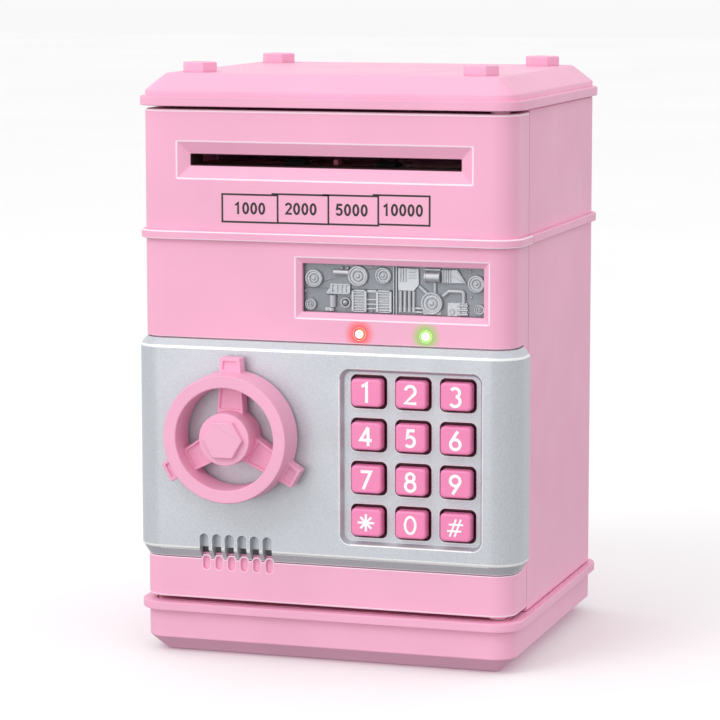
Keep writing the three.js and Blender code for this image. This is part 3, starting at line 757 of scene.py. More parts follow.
# lighter copies of the plastics and paints for narrow convex fillets: painted edge highlights
EDGE_HIGHLIGHT_PAINT = {
    "pink_plastic": plastic("pink_painted_edge_highlight", srgb(255, 226, 238), rough=(0.3, 0.4), coat=0.2).mat,
    "pink_plastic_inside": plastic("pink_inside_painted_edge_highlight", srgb(252, 205, 224), rough=(0.35, 0.45), coat=0.1).mat,
    "key_pink": plastic("key_painted_edge_highlight", srgb(255, 184, 218), rough=(0.3, 0.4), coat=0.2).mat,
    "silver_paint": silver_paint("silver_painted_edge_highlight", srgb(246, 247, 249), metal=0.2).mat,
    "relief_silver": silver_paint("relief_painted_edge_highlight", srgb(236, 238, 241), metal=0.3).mat,
}
EDGE_HIGHLIGHT_PAINT["pink_plastic_door"] = EDGE_HIGHLIGHT_PAINT["pink_plastic"]
P, PD, PI_, SV = pink.mat, pink_door.mat, pink_in.mat, silver.mat


# ================================================================== camera first
cam_data = bpy.data.cameras.new("camera")
cam_data.sensor_width, cam_data.lens = 36.0, 153.44
cam = bpy.data.objects.new("camera", cam_data)
SCENE.collection.objects.link(cam)
cam.matrix_world = Matrix((
    (0.952619, -0.040646, 0.301437, 0.302221),
    (0.304164, 0.130118, -0.943691, -0.962569),
    (-0.000865, 0.990665, 0.136316, 0.229256),
    (0, 0, 0, 1)))
cam_data.clip_start, cam_data.clip_end = 0.01, 20
SCENE.camera = cam


# ================================================================== base
def base():
    rows = []
    for z, o in ((0.0, -5.9), (0.05, -5.55), (0.25, -5.2), (4.65, -0.18), (4.85, -0.03), (5.1, 0.0), (13.75, 0.0),
                 (13.9, 0.12), (13.9, FL_PR - 0.35), (13.95, FL_PR - 0.13), (14.2, FL_PR), (FL_Z1 - 0.4, FL_PR),
                 (FL_Z1 - 0.12, FL_PR - 0.12), (FL_Z1, FL_PR - 0.4), (FL_Z1, -WALL + 0.25), (FL_Z1 - 0.25, -WALL),
                 (14.0, -WALL)):
        rows.append(Z3(outline(o, 14), z))
    s = Solid().rings(rows)
    cut = Solid()
    for x, y in ((-52, 44), (52, 44), (-52, -29), (52, -29)):
        cut.join(hole(Z3, circ(x, y, 3.5, 28), 0.0, 2.8, 0.3))
        cut.join(hole(Z3, circ(x, y, 1.8, 16), 2.6, 13.0, 0.0, out=-0.4))
    for i in range(9):
        x = -24 + 6 * i
        cut.join(hole(Z3, [(a, b) for a, b in capsule(x, -14, 14, 1.1, 8)], 0.0, 1.2, 0.25))
    me = boolean(s, cut)
    piece("base_tray_skin", me, P, "body", "base_tray")
    fl = prism(Z3, outline(-WALL - 0.3, 10), 14.05, FL_Z1, 0.2, 0.35)
    cut = Solid()
    for x, y in ((-52, 44), (52, 44), (-52, -29), (52, -29)):
        cut.join(hole(Z3, circ(x, y, 1.8, 16), FL_Z1, 13, 0.2))
    me = boolean(fl, cut)
    piece("floor_plate_skin", me, PI_, "body", "floor_plate")


base()


# ================================================================== body
def band(o_out, o_in, path, yb, n=14):
    return path(o_out, yb, n) + list(reversed(path(o_in, yb, n)))


def body():
    r = 0.45
    rows = []
    for i, d in fillet(r):
        rows.append(Z3(band(-i, -WALL, back_path, SEAM_BODY), BODY_Z0 + d))
    for i, d in reversed(fillet(r)):
        rows.append(Z3(band(-i, -WALL, back_path, SEAM_BODY), BODY_Z1 - d))
    wall = Solid().rings(rows)
    cut = Solid()
    # coin slot through the back wall, its mouth rounded on the outside
    cut.join(hole(Y3, rr(-16.5, 16.5, 163.3, 168.1, 2.0, 5), HY, 45, 0.5))
    me = boolean(wall, cut)
    extra = Solid()
    rows = []
    f = fillet(0.45)
    for i, d in f:
        rows.append(Z3(band(RG_PR - i, -0.8, back_path, SEAM_BODY), RG_Z0 + d))
    for i, d in reversed(f):
        rows.append(Z3(band(RG_PR - i, -0.8, back_path, SEAM_BODY), RG_Z1 - d))
    extra.rings(rows)
    for x, y in ((-52, 44), (52, 44), (-52, -29), (52, -29)):
        ring = [(5.0, BODY_Z0), (5.0, BOSS_TOP - 0.4), (4.6, BOSS_TOP), (0, BOSS_TOP)]
        extra.join(lathe([(0, BODY_Z0)] + ring, "z", x, y, 28))
        sx = 1 if x > 0 else -1
        extra.join(prism(Z3, rr(min(x + sx * 4, sx * 60), max(x + sx * 4, sx * 60), y - 0.9, y + 0.9, 0.1, 2), BODY_Z0, BOSS_TOP - 0.3, 0.1, 0.3))
        if y > 0:
            extra.join(prism(Z3, rr(x - 0.9, x + 0.9, y + 4, 52.5, 0.1, 2), BODY_Z0, BOSS_TOP - 0.3, 0.1, 0.3))
    for x in (-20, 20):
        extra.join(prism(Z3, rr(x - 0.8, x + 0.8, 50.4, 52.5, 0.3, 3), BODY_Z0, 150, 0.1, 0.4))
    # raised frame round the coin slot, on the inside of the back wall
    extra.join(Solid().rings([Y3(rr(-18.4, 18.4, 161.4, 170.0, 2.6, 5), 51.9), Y3(rr(-18.4, 18.4, 161.4, 170.0, 2.6, 5), 50.5),
                              Y3(rr(-18.1, 18.1, 161.7, 169.7, 2.4, 5), 50.2), Y3(rr(-16.8, 16.8, 163.0, 168.4, 2.2, 5), 50.2),
                              Y3(rr(-16.5, 16.5, 163.3, 168.1, 2.0, 5), 50.5), Y3(rr(-16.5, 16.5, 163.3, 168.1, 2.0, 5), 51.9)], closed=True))
    piece("body_shell_skin", merged(me, extra), P, "body", "body_shell")


body()


# ================================================================== lid
def lid():
    rows = []
    z0, z1, pr, top = LID_Z0, LID_Z1, LID_PR, LID_TOP
    for z, o in ((z0, -WALL - 1), (z0, pr - 0.4), (z0 + 0.12, pr - 0.1), (z0 + 0.42, pr), (z1 - 0.5, pr), (z1 - 0.16, pr - 0.14),
                 (z1, pr - 0.5), (z1, 0.18), (z1 + 0.1, 0.02), (z1 + 0.3, 0.0), (LID_Z2 - 0.55, 0.0), (LID_Z2 - 0.2, -0.12), (LID_Z2 + 0.12, -0.45),
                 (top - 0.42, -LID_IN + 0.55), (top - 0.14, -LID_IN - 0.02), (top, -LID_IN - 0.5)):
        rows.append(Z3(outline(o, 12), z))
    s = Solid().rings(rows)
    cut = Solid().rings([Z3(outline(-WALL, 8), 170), Z3(outline(-WALL, 8), 180.0),
                         Z3(rr(-HX + 9.5, HX - 9.5, -HY + 9.5, HY - 9.5, 1.5, 8), 180.001), Z3(rr(-HX + 9.5, HX - 9.5, -HY + 9.5, HY - 9.5, 1.5, 8), 184.5)])
    me = boolean(s, cut)
    cut = Solid()
    R = (CAP_AF / 2 + 0.25) / math.cos(PI / 6)
    for x in (-CAP_X, CAP_X):
        for y in (-CAP_Y, CAP_Y):
            cut.join(hole(Z3, rounded(circ(x, y, R, 6), 0.4, 3), LID_TOP, LID_TOP - 0.9, 0.2))
    me = boolean(me, cut)
    extra = Solid()
    for x in (-CAP_X, CAP_X):
        for y in (-CAP_Y, CAP_Y):
            extra.join(lathe([(0, 185), (4.0, 185), (4.0, 180.6), (3.8, 180.4), (0, 180.4)], "z", x, y, 24))
    piece("lid_skin", merged(me, extra), P, "body", "lid")
    R = CAP_AF / 2 / math.cos(PI / 6)
    for sx, a in ((-1, "left"), (1, "right")):
        for sy, b in ((-1, "front"), (1, "back")):
            loop = rounded(circ(sx * CAP_X, sy * CAP_Y, R, 6), 0.45, 3)
            cap = prism(Z3, loop, LID_TOP - 0.85, CAP_TOP, 0.1, 0.4)
            cap = boolean(cap, lathe([(0, CAP_TOP + 1), (2.75, CAP_TOP + 1), (2.75, CAP_TOP - 0.005), (2.55, CAP_TOP - 0.22), (0, CAP_TOP - 0.3)],
                                     "z", sx * CAP_X, sy * CAP_Y, 32))
            piece(f"lid_cap_{b}_{a}_head", cap, P, "body", f"lid_cap_{b}_{a}")


lid()


# ================================================================== door shell
U_SEAM = L0 + RC * PI / 2 + (SEAM_DOOR - (-HY + RC))
U_PAN = L0 + RC * PI / 2 + (PAN_END - (-HY + RC))


def tongues(z_base, z_tip, half, r_tip, r_root, u):
    """Panel opening in (u, z), anticlockwise from the lower left, its lower edge with six rounded tongues that rise from z_base to z_tip."""
    low = [(-u, z_base)]
    radii = [0.9]
    for x in VENT_X:
        low += [(x - half - 0.25, z_base), (x - half + 0.15, z_tip), (x + half - 0.15, z_tip), (x + half + 0.25, z_base)]
        radii += [r_root, r_tip, r_tip, r_root]
    return low, radii


def door():
    f = fillet(0.75, 4)
    rows = [Z3(front_path(-i, SEAM_DOOR, 14), DOOR_Z0 + d) for i, d in f]
    rows += [Z3(front_path(-i, SEAM_DOOR, 14), DOOR_Z1 - d) for i, d in reversed(f)]
    outer = Solid().rings(rows)
    # the hollow behind the front
    hollow = Solid().rings([Z3(front_path(-WALL, 10, 10), DOOR_Z0 + 2), Z3(front_path(-WALL, 10, 10), DOOR_Z1 - 2)])
    me = boolean(outer, hollow)
    # recess for the silver panel, its lower border with tongues
    low, radii = tongues(PAN_Z0 - 0.35, PAN_Z0 + 1.05, 1.45, 1.1, 0.3, U_PAN + 0.35)
    pts = low + [(U_PAN + 0.35, PAN_Z0 - 0.35), (U_PAN + 0.35, PAN_Z1 + 0.4), (-U_PAN - 0.35, PAN_Z1 + 0.4)]
    loop = rounded(pts, radii + [0.9, 0.9, 0.9], 4)
    loop = with_arc_points(loop)
    r = 0.3
    rows = [(offset(loop, r), 1.2)] + [(offset(loop, i), -d if k else 0.004) for k, (i, d) in enumerate(fillet(r))] + [(loop, -1.25)]
    me = boolean(me, bent_solid(rows))
    # banknote slot, window, lenses and the grooves below the vents
    cut = Solid()
    k = 4.2 / 2.05
    cut.rings([Y3(grow(SLOT, 4.62), -HY - 0.5), Y3(grow(SLOT, 4.58), -HY - 0.004), Y3(grow(SLOT, 4.32), -HY + 0.035), Y3(grow(SLOT, 4.02), -HY + 0.12), Y3(grow(SLOT, 0.28), -HY + 2.05 - 0.137), Y3(grow(SLOT, 0.06), -HY + 2.05 + 0.02),
               Y3(grow(SLOT, 0.0), -HY + 2.05 + 0.25), Y3(grow(SLOT, 0.0), -45)])
    k = 1.95 / 1.2
    cut.rings([Y3(grow(WIN, 2.32), -HY - 0.5), Y3(grow(WIN, 2.28), -HY - 0.004), Y3(grow(WIN, 2.05), -HY + 0.04), Y3(grow(WIN, 1.8), -HY + 0.125), Y3(grow(WIN, 0.2), -HY + 1.2 - 0.123), Y3(grow(WIN, 0.04), -HY + 1.2 + 0.02),
               Y3(grow(WIN, 0.0), -HY + 1.2 + 0.2), Y3(grow(WIN, 0.0), -48)])
    for x in LED_X:
        cut.join(hole(Y3, circ(x, LED_Z, 1.8, 32), -HY, -48, 0.3))
    for x in VENT_X:
        cut.join(hole(Y3, capsule(x, 27.9, PAN_Z0 + 0.5, 1.16, 8), -HY, -52.9, 0.28, rb=0.3))
    # openings behind the panel: keypad, vents, the handwheel's spindle
    cut.join(hole(Y3, rr(4.6, 53.7, 38.0, 96.6, 1.5, 4), -HY + 1.25, -50, 0.0))
    cut.join(hole(Y3, rr(-43.5, -14.9, 33.25, 41.8, 0.6, 3), -HY + 1.25, -50, 0.0))
    cut.join(hole(Y3, circ(WX, WZ, 3.4, 32), -HY + 1.25, -50, 0.0))
    # room for the hinge pins through the end walls
    cut.join(lathe([(0, 15.0), (2.2, 15.0), (2.2, 21.0), (0, 21.0)], "z", *PIVOT, 28))
    cut.join(lathe([(0, 173.0), (2.2, 173.0), (2.2, 179.0), (0, 179.0)], "z", *PIVOT, 28))
    me = boolean(me, cut)
    extra = Solid()
    # ridge
    rows, g = [], fillet(0.45)
    for i, d in g:
        rows.append(Z3(band(RG_PR - i, -0.8, front_path, SEAM_DOOR), RG_Z0 + d))
    for i, d in reversed(g):
        rows.append(Z3(band(RG_PR - i, -0.8, front_path, SEAM_DOOR), RG_Z1 - d))
    extra.rings(rows)
    # hinge bosses at both ends of the hinge axis, bored blind for the pins
    extra.join(lathe([(0, 27.0), (1.8, 27.0), (1.8, 17.0), (2.7, 17.0), (3.0, 17.3), (3.0, 19.0), (4.0, 19.0), (4.0, 28.0), (0, 28.0)], "z", *PIVOT, 28))
    extra.join(lathe([(0, 166.0), (4.0, 166.0), (4.0, 175.0), (3.0, 175.0), (3.0, 176.0), (2.7, 176.3), (1.8, 176.3), (1.8, 167.0), (0, 167.0)], "z", *PIVOT, 28))
    # tunnel behind the banknote slot
    a, b = grow(SLOT, 1.7, 0.6), grow(SLOT, 0.0)
    tun = Solid().rings([Y3(a, -52.2), Y3(a, -41.7), Y3(grow(SLOT, 1.5, 0.5), -41.5), Y3(grow(SLOT, 0.2), -41.5), Y3(b, -41.7), Y3(b, -51.7), Y3(grow(SLOT, 0.3), -52.0)], closed=True, mi=1)
    for x, z in ((-52, 28), (-52, 120), (52.5, 104), (52.5, 32)):
        extra.join(lathe([(0, -52.0), (3.0, -52.0), (3.0, -38.6), (0, -38.6)], "y", x, z, 24))
    extra.join(tun)

    # the tunnel's walls inside the banknote slot take the dark material: painted shade
    def mats(me_):
        for p in me_.polygons:
            c = p.center / MM
            if c.y > -52.6 and abs(c.x) < 48 and 155 < c.z < 164 and c.y < -41:
                p.material_index = 1
            else:
                p.material_index = 0

    piece("door_shell_skin", merged(me, extra), [PD, slot_tunnel_painted_shade.mat], "door", "door_shell", faces=mats)


door()


# ================================================================== silver panel
def panel():
    rows = []
    z0, z1, pr = PAN_Z0, PAN_Z1, PAN_PR
    for a, t, b, d in ((0.62, 2.95, 3.75, 0.0), (0.30, 2.66, 3.42, 0.045), (0.12, 2.40, 3.12, 0.14), (0.03, 2.16, 2.88, 0.28), (0.0, 1.90, 2.6, 0.47),
                       (0.0, 1.28, 1.72, 1.0), (0.0, 0.70, 0.9, 1.5), (0.0, 0.2, 0.25, 1.93), (0.0, 0.0, 0.0, 2.1), (0.0, 0.0, 0.0, 3.0)):
        loop = rr(-U_PAN + a, U_PAN - a, z0 + b, z1 - t, 0.8, 4)
        rows.append((with_arc_points(loop), pr - d))
    s = bent_solid(rows)
    cut = Solid()
    kp = (KEYPAD[0], KEYPAD[1], KEYPAD[2], KEYPAD[3])
    rows = [Y3(rr(kp[0] - 0.35, kp[1] + 0.35, kp[2] - 0.35, kp[3] + 0.35, KEYPAD_R + 0.35, 8), PAN_F - 1)]
    for g, dd, rad in ((0.35, -0.004, 0.35), (0.16, 0.05, 0.16), (0.02, 0.19, 0.02), (-0.08, 0.38, -0.08)):
        rows.append(Y3(rr(kp[0] - g, kp[1] + g, kp[2] - g, kp[3] + g, KEYPAD_R + rad, 8), PAN_F + dd))
    for g, dd in ((0.74, 2.0), (0.86, 2.2), (1.15, 2.3)):
        rows.append(Y3(rr(kp[0] + g, kp[1] - g, kp[2] + g, kp[3] - g, KEYPAD_R - g, 8), PAN_F + dd))
    cut.rings(rows)
    for x in VENT_X:
        cut.join(hole(Y3, capsule(x, 20, VENT_TOP + VENT_R, VENT_R, 9), PAN_F, -50, 0.22))
    me = boolean(s, cut)
    cut = Solid()
    floor = PAN_F + 2.3
    for x in KEY_X:
        for z in KEY_Z:
            h = KEY_HOLE
            cut.join(hole(Y3, rr(x - KEY_W / 2 - h, x + KEY_W / 2 + h, z - KEY_H / 2 - h, z + KEY_H / 2 + h, 1.9, 6), floor, -50, 0.32, out=0.6))
    cut.join(hole(Y3, circ(WX, WZ, 3.6, 36), PAN_F, -50, 0.3))
    back = prism(Y3, rr(5.2, 53.1, 38.6, 96.0, 2.0, 4), floor + 0.25, -52.3, 0.0, 0.2)
    me = boolean(me, cut)
    back = boolean(back, cut)
    pad = prism(Y3, rr(-43.4, -15.0, 35.3, 41.5, 0.4, 3), -53.5, -52.6, 0.15, 0.1)
    piece("front_panel_skin", merged(me, back, pad), [SV], "door", "front_panel")


panel()


# ================================================================== relief behind the window, and the lenses
def relief_panel():
    s = Solid()
    B = -50.6                                   # face of the backing plate

    def plate(loop, y, r=0.26, back=-50.2, mi=0):
        s.join(prism(Y3, loop, y, back, r, 0.0, 2), mi)

    def bx(x0, x1, z0, z1, y, r=0.24, c=0.2):
        plate(rr(x0, x1, z0, z1, c, 3), y, r)

    def disc(x, z, R, y):
        """Wheel with a rolled rim, a groove, a raised ring and a domed middle."""
        h = y - B
        s.join(lathe([(0, -50.2), (R, -50.2), (R, y + 0.22), (R - 0.1, y + 0.06), (R * 0.93, y), (R * 0.84, y), (R * 0.78, y + 0.2), (R * 0.74, y + 0.5),
                      (R * 0.58, y + 0.5), (R * 0.53, y + 0.15), (R * 0.47, y + 0.02), (R * 0.42, y + 0.1), (R * 0.38, y + 0.42), (R * 0.25, y + 0.42),
                      (R * 0.2, y + 0.02), (R * 0.1, y - 0.1), (0, y - 0.12)], "y", x, z, 40))

    # the backing plate here and the raised field below take the darker material, index 1: painted shade round the
    # features
    plate(rr(-8.5, 53.0, 111.4, 129.0, 0.4, 3), B, 0.1, -49.5, 1)
    # a raised field left of the channel, and the channel's walls
    plate(rr(-8.2, 22.05, 119.9, 128.6, 0.1, 2), B - 0.25, 0.2, -50.2, 1)
    disc(-3.95, 123.03, 2.85, -52.1)
    disc(-5.1, 114.84, 1.85, -51.8)
    disc(10.54, 124.17, 3.3, -52.0)
    disc(18.82, 124.58, 2.65, -51.9)
    disc(34.69, 116.38, 3.55, -52.1)
    disc(49.09, 122.89, 2.75, -52.0)
    disc(50.1, 114.91, 1.7, -51.8)
    # small motor with two knobs
    s.join(tube([(2.6, -51.3, 125.2), (7.6, -51.3, 125.1)], 0.95, 20))
    bx(2.4, 7.4, 124.3, 124.7, -51.9)
    for x in (5.3, 7.2):
        s.join(lathe([(0, -50.5), (0.5, -50.5), (0.5, -51.7), (0.3, -51.95), (0, -52.0)], "y", x, 126.6, 18))
    # slatted trapezoid
    plate(rounded([(-0.5, 118.2), (8.05, 118.5), (8.05, 121.7), (2.0, 121.5)], 0.2), -51.3)
    for x0, x1, z0, z1 in ((1.4, 8.0, 121.15, 121.65), (0.2, 8.05, 118.3, 118.85), (7.4, 8.05, 118.4, 121.6), (1.4, 2.2, 118.6, 121.4)):
        bx(x0, x1, z0, z1, -51.75, 0.12, 0.1)
    for x in (3.1, 4.5, 5.9):
        bx(x, x + 0.75, 118.7, 121.4, -51.65, 0.12, 0.1)
    # pedestal
    s.join(tube([(2.15, -51.2, 117.9), (2.15, -51.2, 114.2)], 1.15, 20))
    bx(-0.3, 2.6, 112.75, 114.05, -51.7)
    for x in (0.4, 1.8):
        s.join(lathe([(0, -51.5), (0.45, -51.5), (0.45, -51.95), (0, -52.0)], "y", x, 113.4, 14))
    # cup with a ball
    s.join(lathe([(1.72, -50.2), (1.72, -51.3), (1.6, -51.5), (1.35, -51.5), (1.2, -51.35), (1.15, -50.7), (1.15, -50.2)], "y", 6.4, 115.66, 32))
    s.join(lathe([(0, -50.5), (0.85, -50.6), (0.95, -51.1), (0.75, -51.6), (0.4, -51.85), (0, -51.95)], "y", 6.2, 115.7, 24))
    # two louvres
    for x0, x1, z0, z1 in ((8.45, 13.4, 112.8, 119.9), (16.5, 21.6, 112.85, 119.95)):
        plate(rr(x0, x1, z0, z1, 0.25, 3), -51.0)
        for a, b, c, d in ((x0, x0 + 0.75, z0, z1), (x1 - 0.75, x1, z0, z1), (x0, x1, z1 - 0.5, z1), (x0, x1, z0, z0 + 0.4)):
            bx(a, b, c, d, -51.65, 0.12, 0.12)
        for i in range(7):
            z = z0 + 0.75 + i * 0.88
            s.join(tube([(x0 + 0.7, -51.2, z), (x1 - 0.7, -51.2, z)], 0.3, 12))
    for z in (116.8, 115.35, 113.95):
        s.join(tube([(13.2, -50.9, z), (16.7, -50.9, z)], 0.33, 14))
    bx(13.2, 16.7, 118.9, 119.9, -51.1)
    # channel walls
    bx(21.95, 22.3, 112.3, 128.4, -51.2, 0.1, 0.1)
    bx(22.9, 23.25, 112.3, 128.4, -51.2, 0.1, 0.1)
    # big clamped plate with grooves and slots
    plate(rounded([(23.6, 119.95), (28.75, 119.9), (30.55, 122.0), (30.35, 127.3), (23.6, 127.3)], 0.25), -51.4)
    for x in (24.25, 25.1, 25.95):
        bx(x, x + 0.4, 122.9, 127.2, -51.75, 0.12, 0.12)
    for z in (124.1, 125.0, 125.9, 126.7):
        bx(27.0, 29.6, z, z + 0.38, -51.7, 0.12, 0.12)
    for x in (24.4, 25.85, 27.3, 28.7):
        s.join(tube([(x, -51.0, 119.95), (x, -51.0, 113.6)], 0.55, 18))
        s.join(tube([(x, -51.0, 114.9), (x, -51.05, 113.4)], 0.64, 18))
    # drum with two hoops and its rail
    s.join(tube([(32.6, -51.2, 124.6), (37.2, -51.2, 124.6)], 1.6, 28))
    for x in (32.5, 36.9):
        s.join(tube([(x, -51.2, 124.6), (x + 0.45, -51.2, 124.6)], 1.78, 28))
    bx(32.1, 37.5, 126.6, 127.35, -51.6)
    # wedge with ribs
    plate(rounded([(37.7, 122.7), (45.6, 122.9), (42.6, 127.25), (37.7, 127.1)], 0.2), -51.3)
    for x in (38.2, 38.95, 39.7, 40.45):
        bx(x, x + 0.36, 122.8, 127.0, -51.65, 0.12, 0.1)
    s.join(tube([(45.5, -51.1, 122.85), (42.6, -51.1, 127.25)], 0.32, 12))
    # foot of the big wheel, its stubs and struts
    bx(31.4, 37.6, 112.6, 115.6, -51.0)
    for z in (114.6, 113.4):
        s.join(tube([(29.3, -51.0, z), (31.6, -51.0, z)], 0.42, 14))
    s.join(tube([(35.6, -51.0, 122.9), (35.6, -51.0, 119.6)], 0.5, 16))
    s.join(tube([(30.5, -51.0, 121.6), (33.0, -51.0, 119.4)], 0.62, 18))
    # bent pipe
    path = [(38.2, -51.1, 118.7), (39.3, -51.1, 119.6)]
    path += [(40.3 + 0.6 * math.sin(t), -51.1, 119.75 + 0.6 * math.cos(t)) for t in (-0.7, -0.35, 0)]
    path += [(42.5, -51.1, 120.35), (44.1, -51.1, 120.35)] + [(44.1 + 0.8 * math.sin(t), -51.1, 119.55 + 0.8 * math.cos(t)) for t in (0.4, 0.8, 1.2, 1.57)]
    path += [(44.9, -51.1, 118.4), (44.9, -51.1, 116.6)]
    s.join(tube(path, 0.66, 18))
    # finned box with a dial
    bx(39.7, 44.0, 112.5, 116.9, -51.5)
    bx(43.6, 46.1, 112.5, 117.0, -51.1)
    for z in (113.2, 114.5, 115.9):
        s.join(tube([(42.9, -51.4, z), (46.3, -51.2, z)], 0.4, 14))
    s.join(lathe([(0, -51.3), (0.95, -51.3), (0.95, -51.75), (0.8, -51.9), (0.5, -51.9), (0.35, -51.75), (0, -51.75)], "y", 41.2, 113.95, 24))
    # small bolts on the backing
    for x, z in ((-0.9, 126.8), (15.0, 126.9), (47.0, 126.6), (47.3, 118.6), (-7.0, 118.9), (14.9, 113.2)):
        s.join(lathe([(0, -50.4), (0.42, -50.4), (0.42, -50.95), (0.28, -51.1), (0, -51.12)], "y", x, z, 12))
    piece("relief_panel_casting", s, [relief.mat, relief_backing_painted_shade.mat], "door", "relief_panel", sharp=45)


relief_panel()


def lenses():
    prof = [(0, -49.6), (2.0, -49.6), (2.0, -51.2), (1.5, -51.3), (1.5, -54.0)]
    prof += [(1.5 * math.cos(t), -54.0 - 1.0 * math.sin(t)) for t in (0.3, 0.6, 0.9, 1.2, 1.45)] + [(0, -55.0)]
    for x, nm, m in ((LED_X[0], "led_red", led_red), (LED_X[1], "led_green", led_green)):
        piece(f"{nm}_lens", lathe(prof, "y", x, LED_Z, 32), m.mat, "door", nm)


lenses()


# ================================================================== keys
def arc(cx, cz, rx, rz, a0, a1, n=14):
    return [(cx + rx * math.cos(math.radians(a0 + (a1 - a0) * i / n)), cz + rz * math.sin(math.radians(a0 + (a1 - a0) * i / n))) for i in range(n + 1)]


GLYPHS = {
    "1": ([[(-1.35, 2.05), (0.25, 3.05), (0.25, -3.1)]], 0.98),
    "2": ([arc(0.0, 1.25, 1.62, 1.62, 172, -38, 18) + [(-1.75, -2.65), (2.0, -2.65)]], 0.98),
    "3": ([arc(-0.1, 1.45, 1.45, 1.4, 150, -80, 16), arc(-0.15, -1.35, 1.68, 1.62, 80, -150, 18)], 0.98),
    "4": ([[(0.75, 3.05), (-1.75, -1.15), (2.0, -1.15)], [(0.75, 2.95), (0.75, -3.1)]], 0.98),
    "5": ([[(1.45, 2.6), (-0.72, 2.6), (-1.02, 0.38)] + arc(-0.2, -0.95, 1.62, 1.6, 100, -140, 18)], 0.98),
    "6": ([arc(0.0, -1.15, 1.6, 1.6, 90, 450, 30), [(0.85, 3.15), (-0.55, 1.0), (-1.35, -0.35)]], 0.98),
    "7": ([[(-1.75, 2.6), (1.6, 2.6), (-0.9, -3.1)]], 0.98),
    "8": ([arc(0, 1.45, 1.3, 1.3, 90, 450, 26), arc(0, -1.35, 1.62, 1.6, 90, 450, 28)], 0.95),
    "9": ([arc(0.0, 1.15, 1.6, 1.6, 90, 450, 30), [(-0.85, -3.15), (0.55, -1.0), (1.35, 0.35)]], 0.98),
    "star": ([[(0, 2.8), (0, -2.8)], [(-2.8, 0), (2.8, 0)], [(-1.85, 1.85), (1.85, -1.85)], [(-1.85, -1.85), (1.85, 1.85)]], 0.74),
    "0": ([arc(0, 0, 1.72, 2.7, 90, 450, 34)], 0.82),
    "hash": ([[(-1.75, -2.85), (0.35, 2.85)], [(-0.15, -2.85), (1.95, 2.85)], [(-2.05, 1.05), (2.75, 1.05)], [(-2.65, -1.05), (2.15, -1.05)]], 0.6),
}


def stroke(path, w, cx, cz, y, lift=0.07):
    """Flat printed stroke of width w along a path in (x, z), mitred at its bends, standing 0.07 mm proud of y."""
    pts = [p for i, p in enumerate(path) if i == 0 or (Vector(p) - Vector(path[i - 1])).length > 1e-4]
    closed = (Vector(pts[0]) - Vector(pts[-1])).length < 1e-3
    if closed:
        pts = pts[:-1]
    n, h = len(pts), w / 2
    L, R = [], []
    for i, p in enumerate(pts):
        p = Vector(p)
        a = Vector(pts[i - 1]) if (i > 0 or closed) else None
        b = Vector(pts[(i + 1) % n]) if (i < n - 1 or closed) else None
        d1 = (p - a).normalized() if a is not None else (b - p).normalized()
        d2 = (b - p).normalized() if b is not None else d1
        n1, n2 = Vector((-d1.y, d1.x)), Vector((-d2.y, d2.x))
        m = (n1 + n2) / max(1 + n1.dot(n2), 0.5)
        L.append(p + m * h), R.append(p - m * h)
    s, top, verts, faces = Solid(), y - lift, [], []
    for q in (L, R):
        verts += [(cx + v.x, top, cz + v.y) for v in q] + [(cx + v.x, y + 0.05, cz + v.y) for v in q]
    m = n if closed else n - 1
    LT, LB, RT, RB = 0, n, 2 * n, 3 * n
    for i in range(m):
        j = (i + 1) % n
        faces += [(LT + i, LT + j, RT + j, RT + i), (LB + i, RB + i, RB + j, LB + j), (LT + i, LB + i, LB + j, LT + j), (RT + i, RT + j, RB + j, RB + i)]
    if not closed:
        faces += [(LT, RT, RB, LB), (LT + n - 1, LB + n - 1, RB + n - 1, RT + n - 1)]
    return s.add(verts, faces, 1)


def keys():
    names = list("123456789") + ["star", "0", "hash"]
    for i, nm in enumerate(names):
        x, z = KEY_X[i % 3], KEY_Z[i // 3]
        rows = []
        for ins, y in ((-1.5, -50.95), (-1.5, -51.75), (-0.02, -51.9), (-0.02, -53.6), (0.02, -56.3), (0.05, -56.55), (0.13, -56.78),
                       (0.27, -56.95), (0.47, -57.06), (0.75, -57.1)):
            rows.append(Y3(rr(x - KEY_W / 2 + ins, x + KEY_W / 2 - ins, z - KEY_H / 2 + ins, z + KEY_H / 2 - ins, 1.3 if ins > -1 else 0.4, 6), y))
        s = Solid().rings(rows)
        paths, w = GLYPHS[nm]
        for j, p in enumerate(paths):
            s.join(stroke([(a * 0.98, b * 0.98) for a, b in p], w, x, z, KEY_FRONT, 0.07 + 0.012 * j))

        # the key's sides inside its hole take the dark skirt material: painted shade in the gap
        def mats(me_):
            for p in me_.polygons:
                if p.material_index == 0 and p.center.y / MM > -54.2:
                    p.material_index = 2

        piece(f"key_cap_{nm}", s, [key_pink.mat, white_ink.mat, key_gap_painted_shade.mat], f"key_{nm}", f"key_{nm}", faces=mats)


keys()


# ================================================================== printed cards above the window
DIGITS = {
    "0": [arc(0, 0, 0.80, 1.58, 90, 450, 30)],
    "1": [[(-0.78, 0.88), (0.16, 1.6), (0.16, -1.92)]],
    "2": [arc(0.0, 0.72, 0.84, 0.86, 168, -30, 14) + [(-0.75, -1.58), (1.08, -1.58)]],
    "5": [[(0.98, 1.58), (-0.52, 1.58), (-0.7, 0.22)] + arc(-0.08, -0.62, 0.9, 0.96, 108, -152, 16)],
}


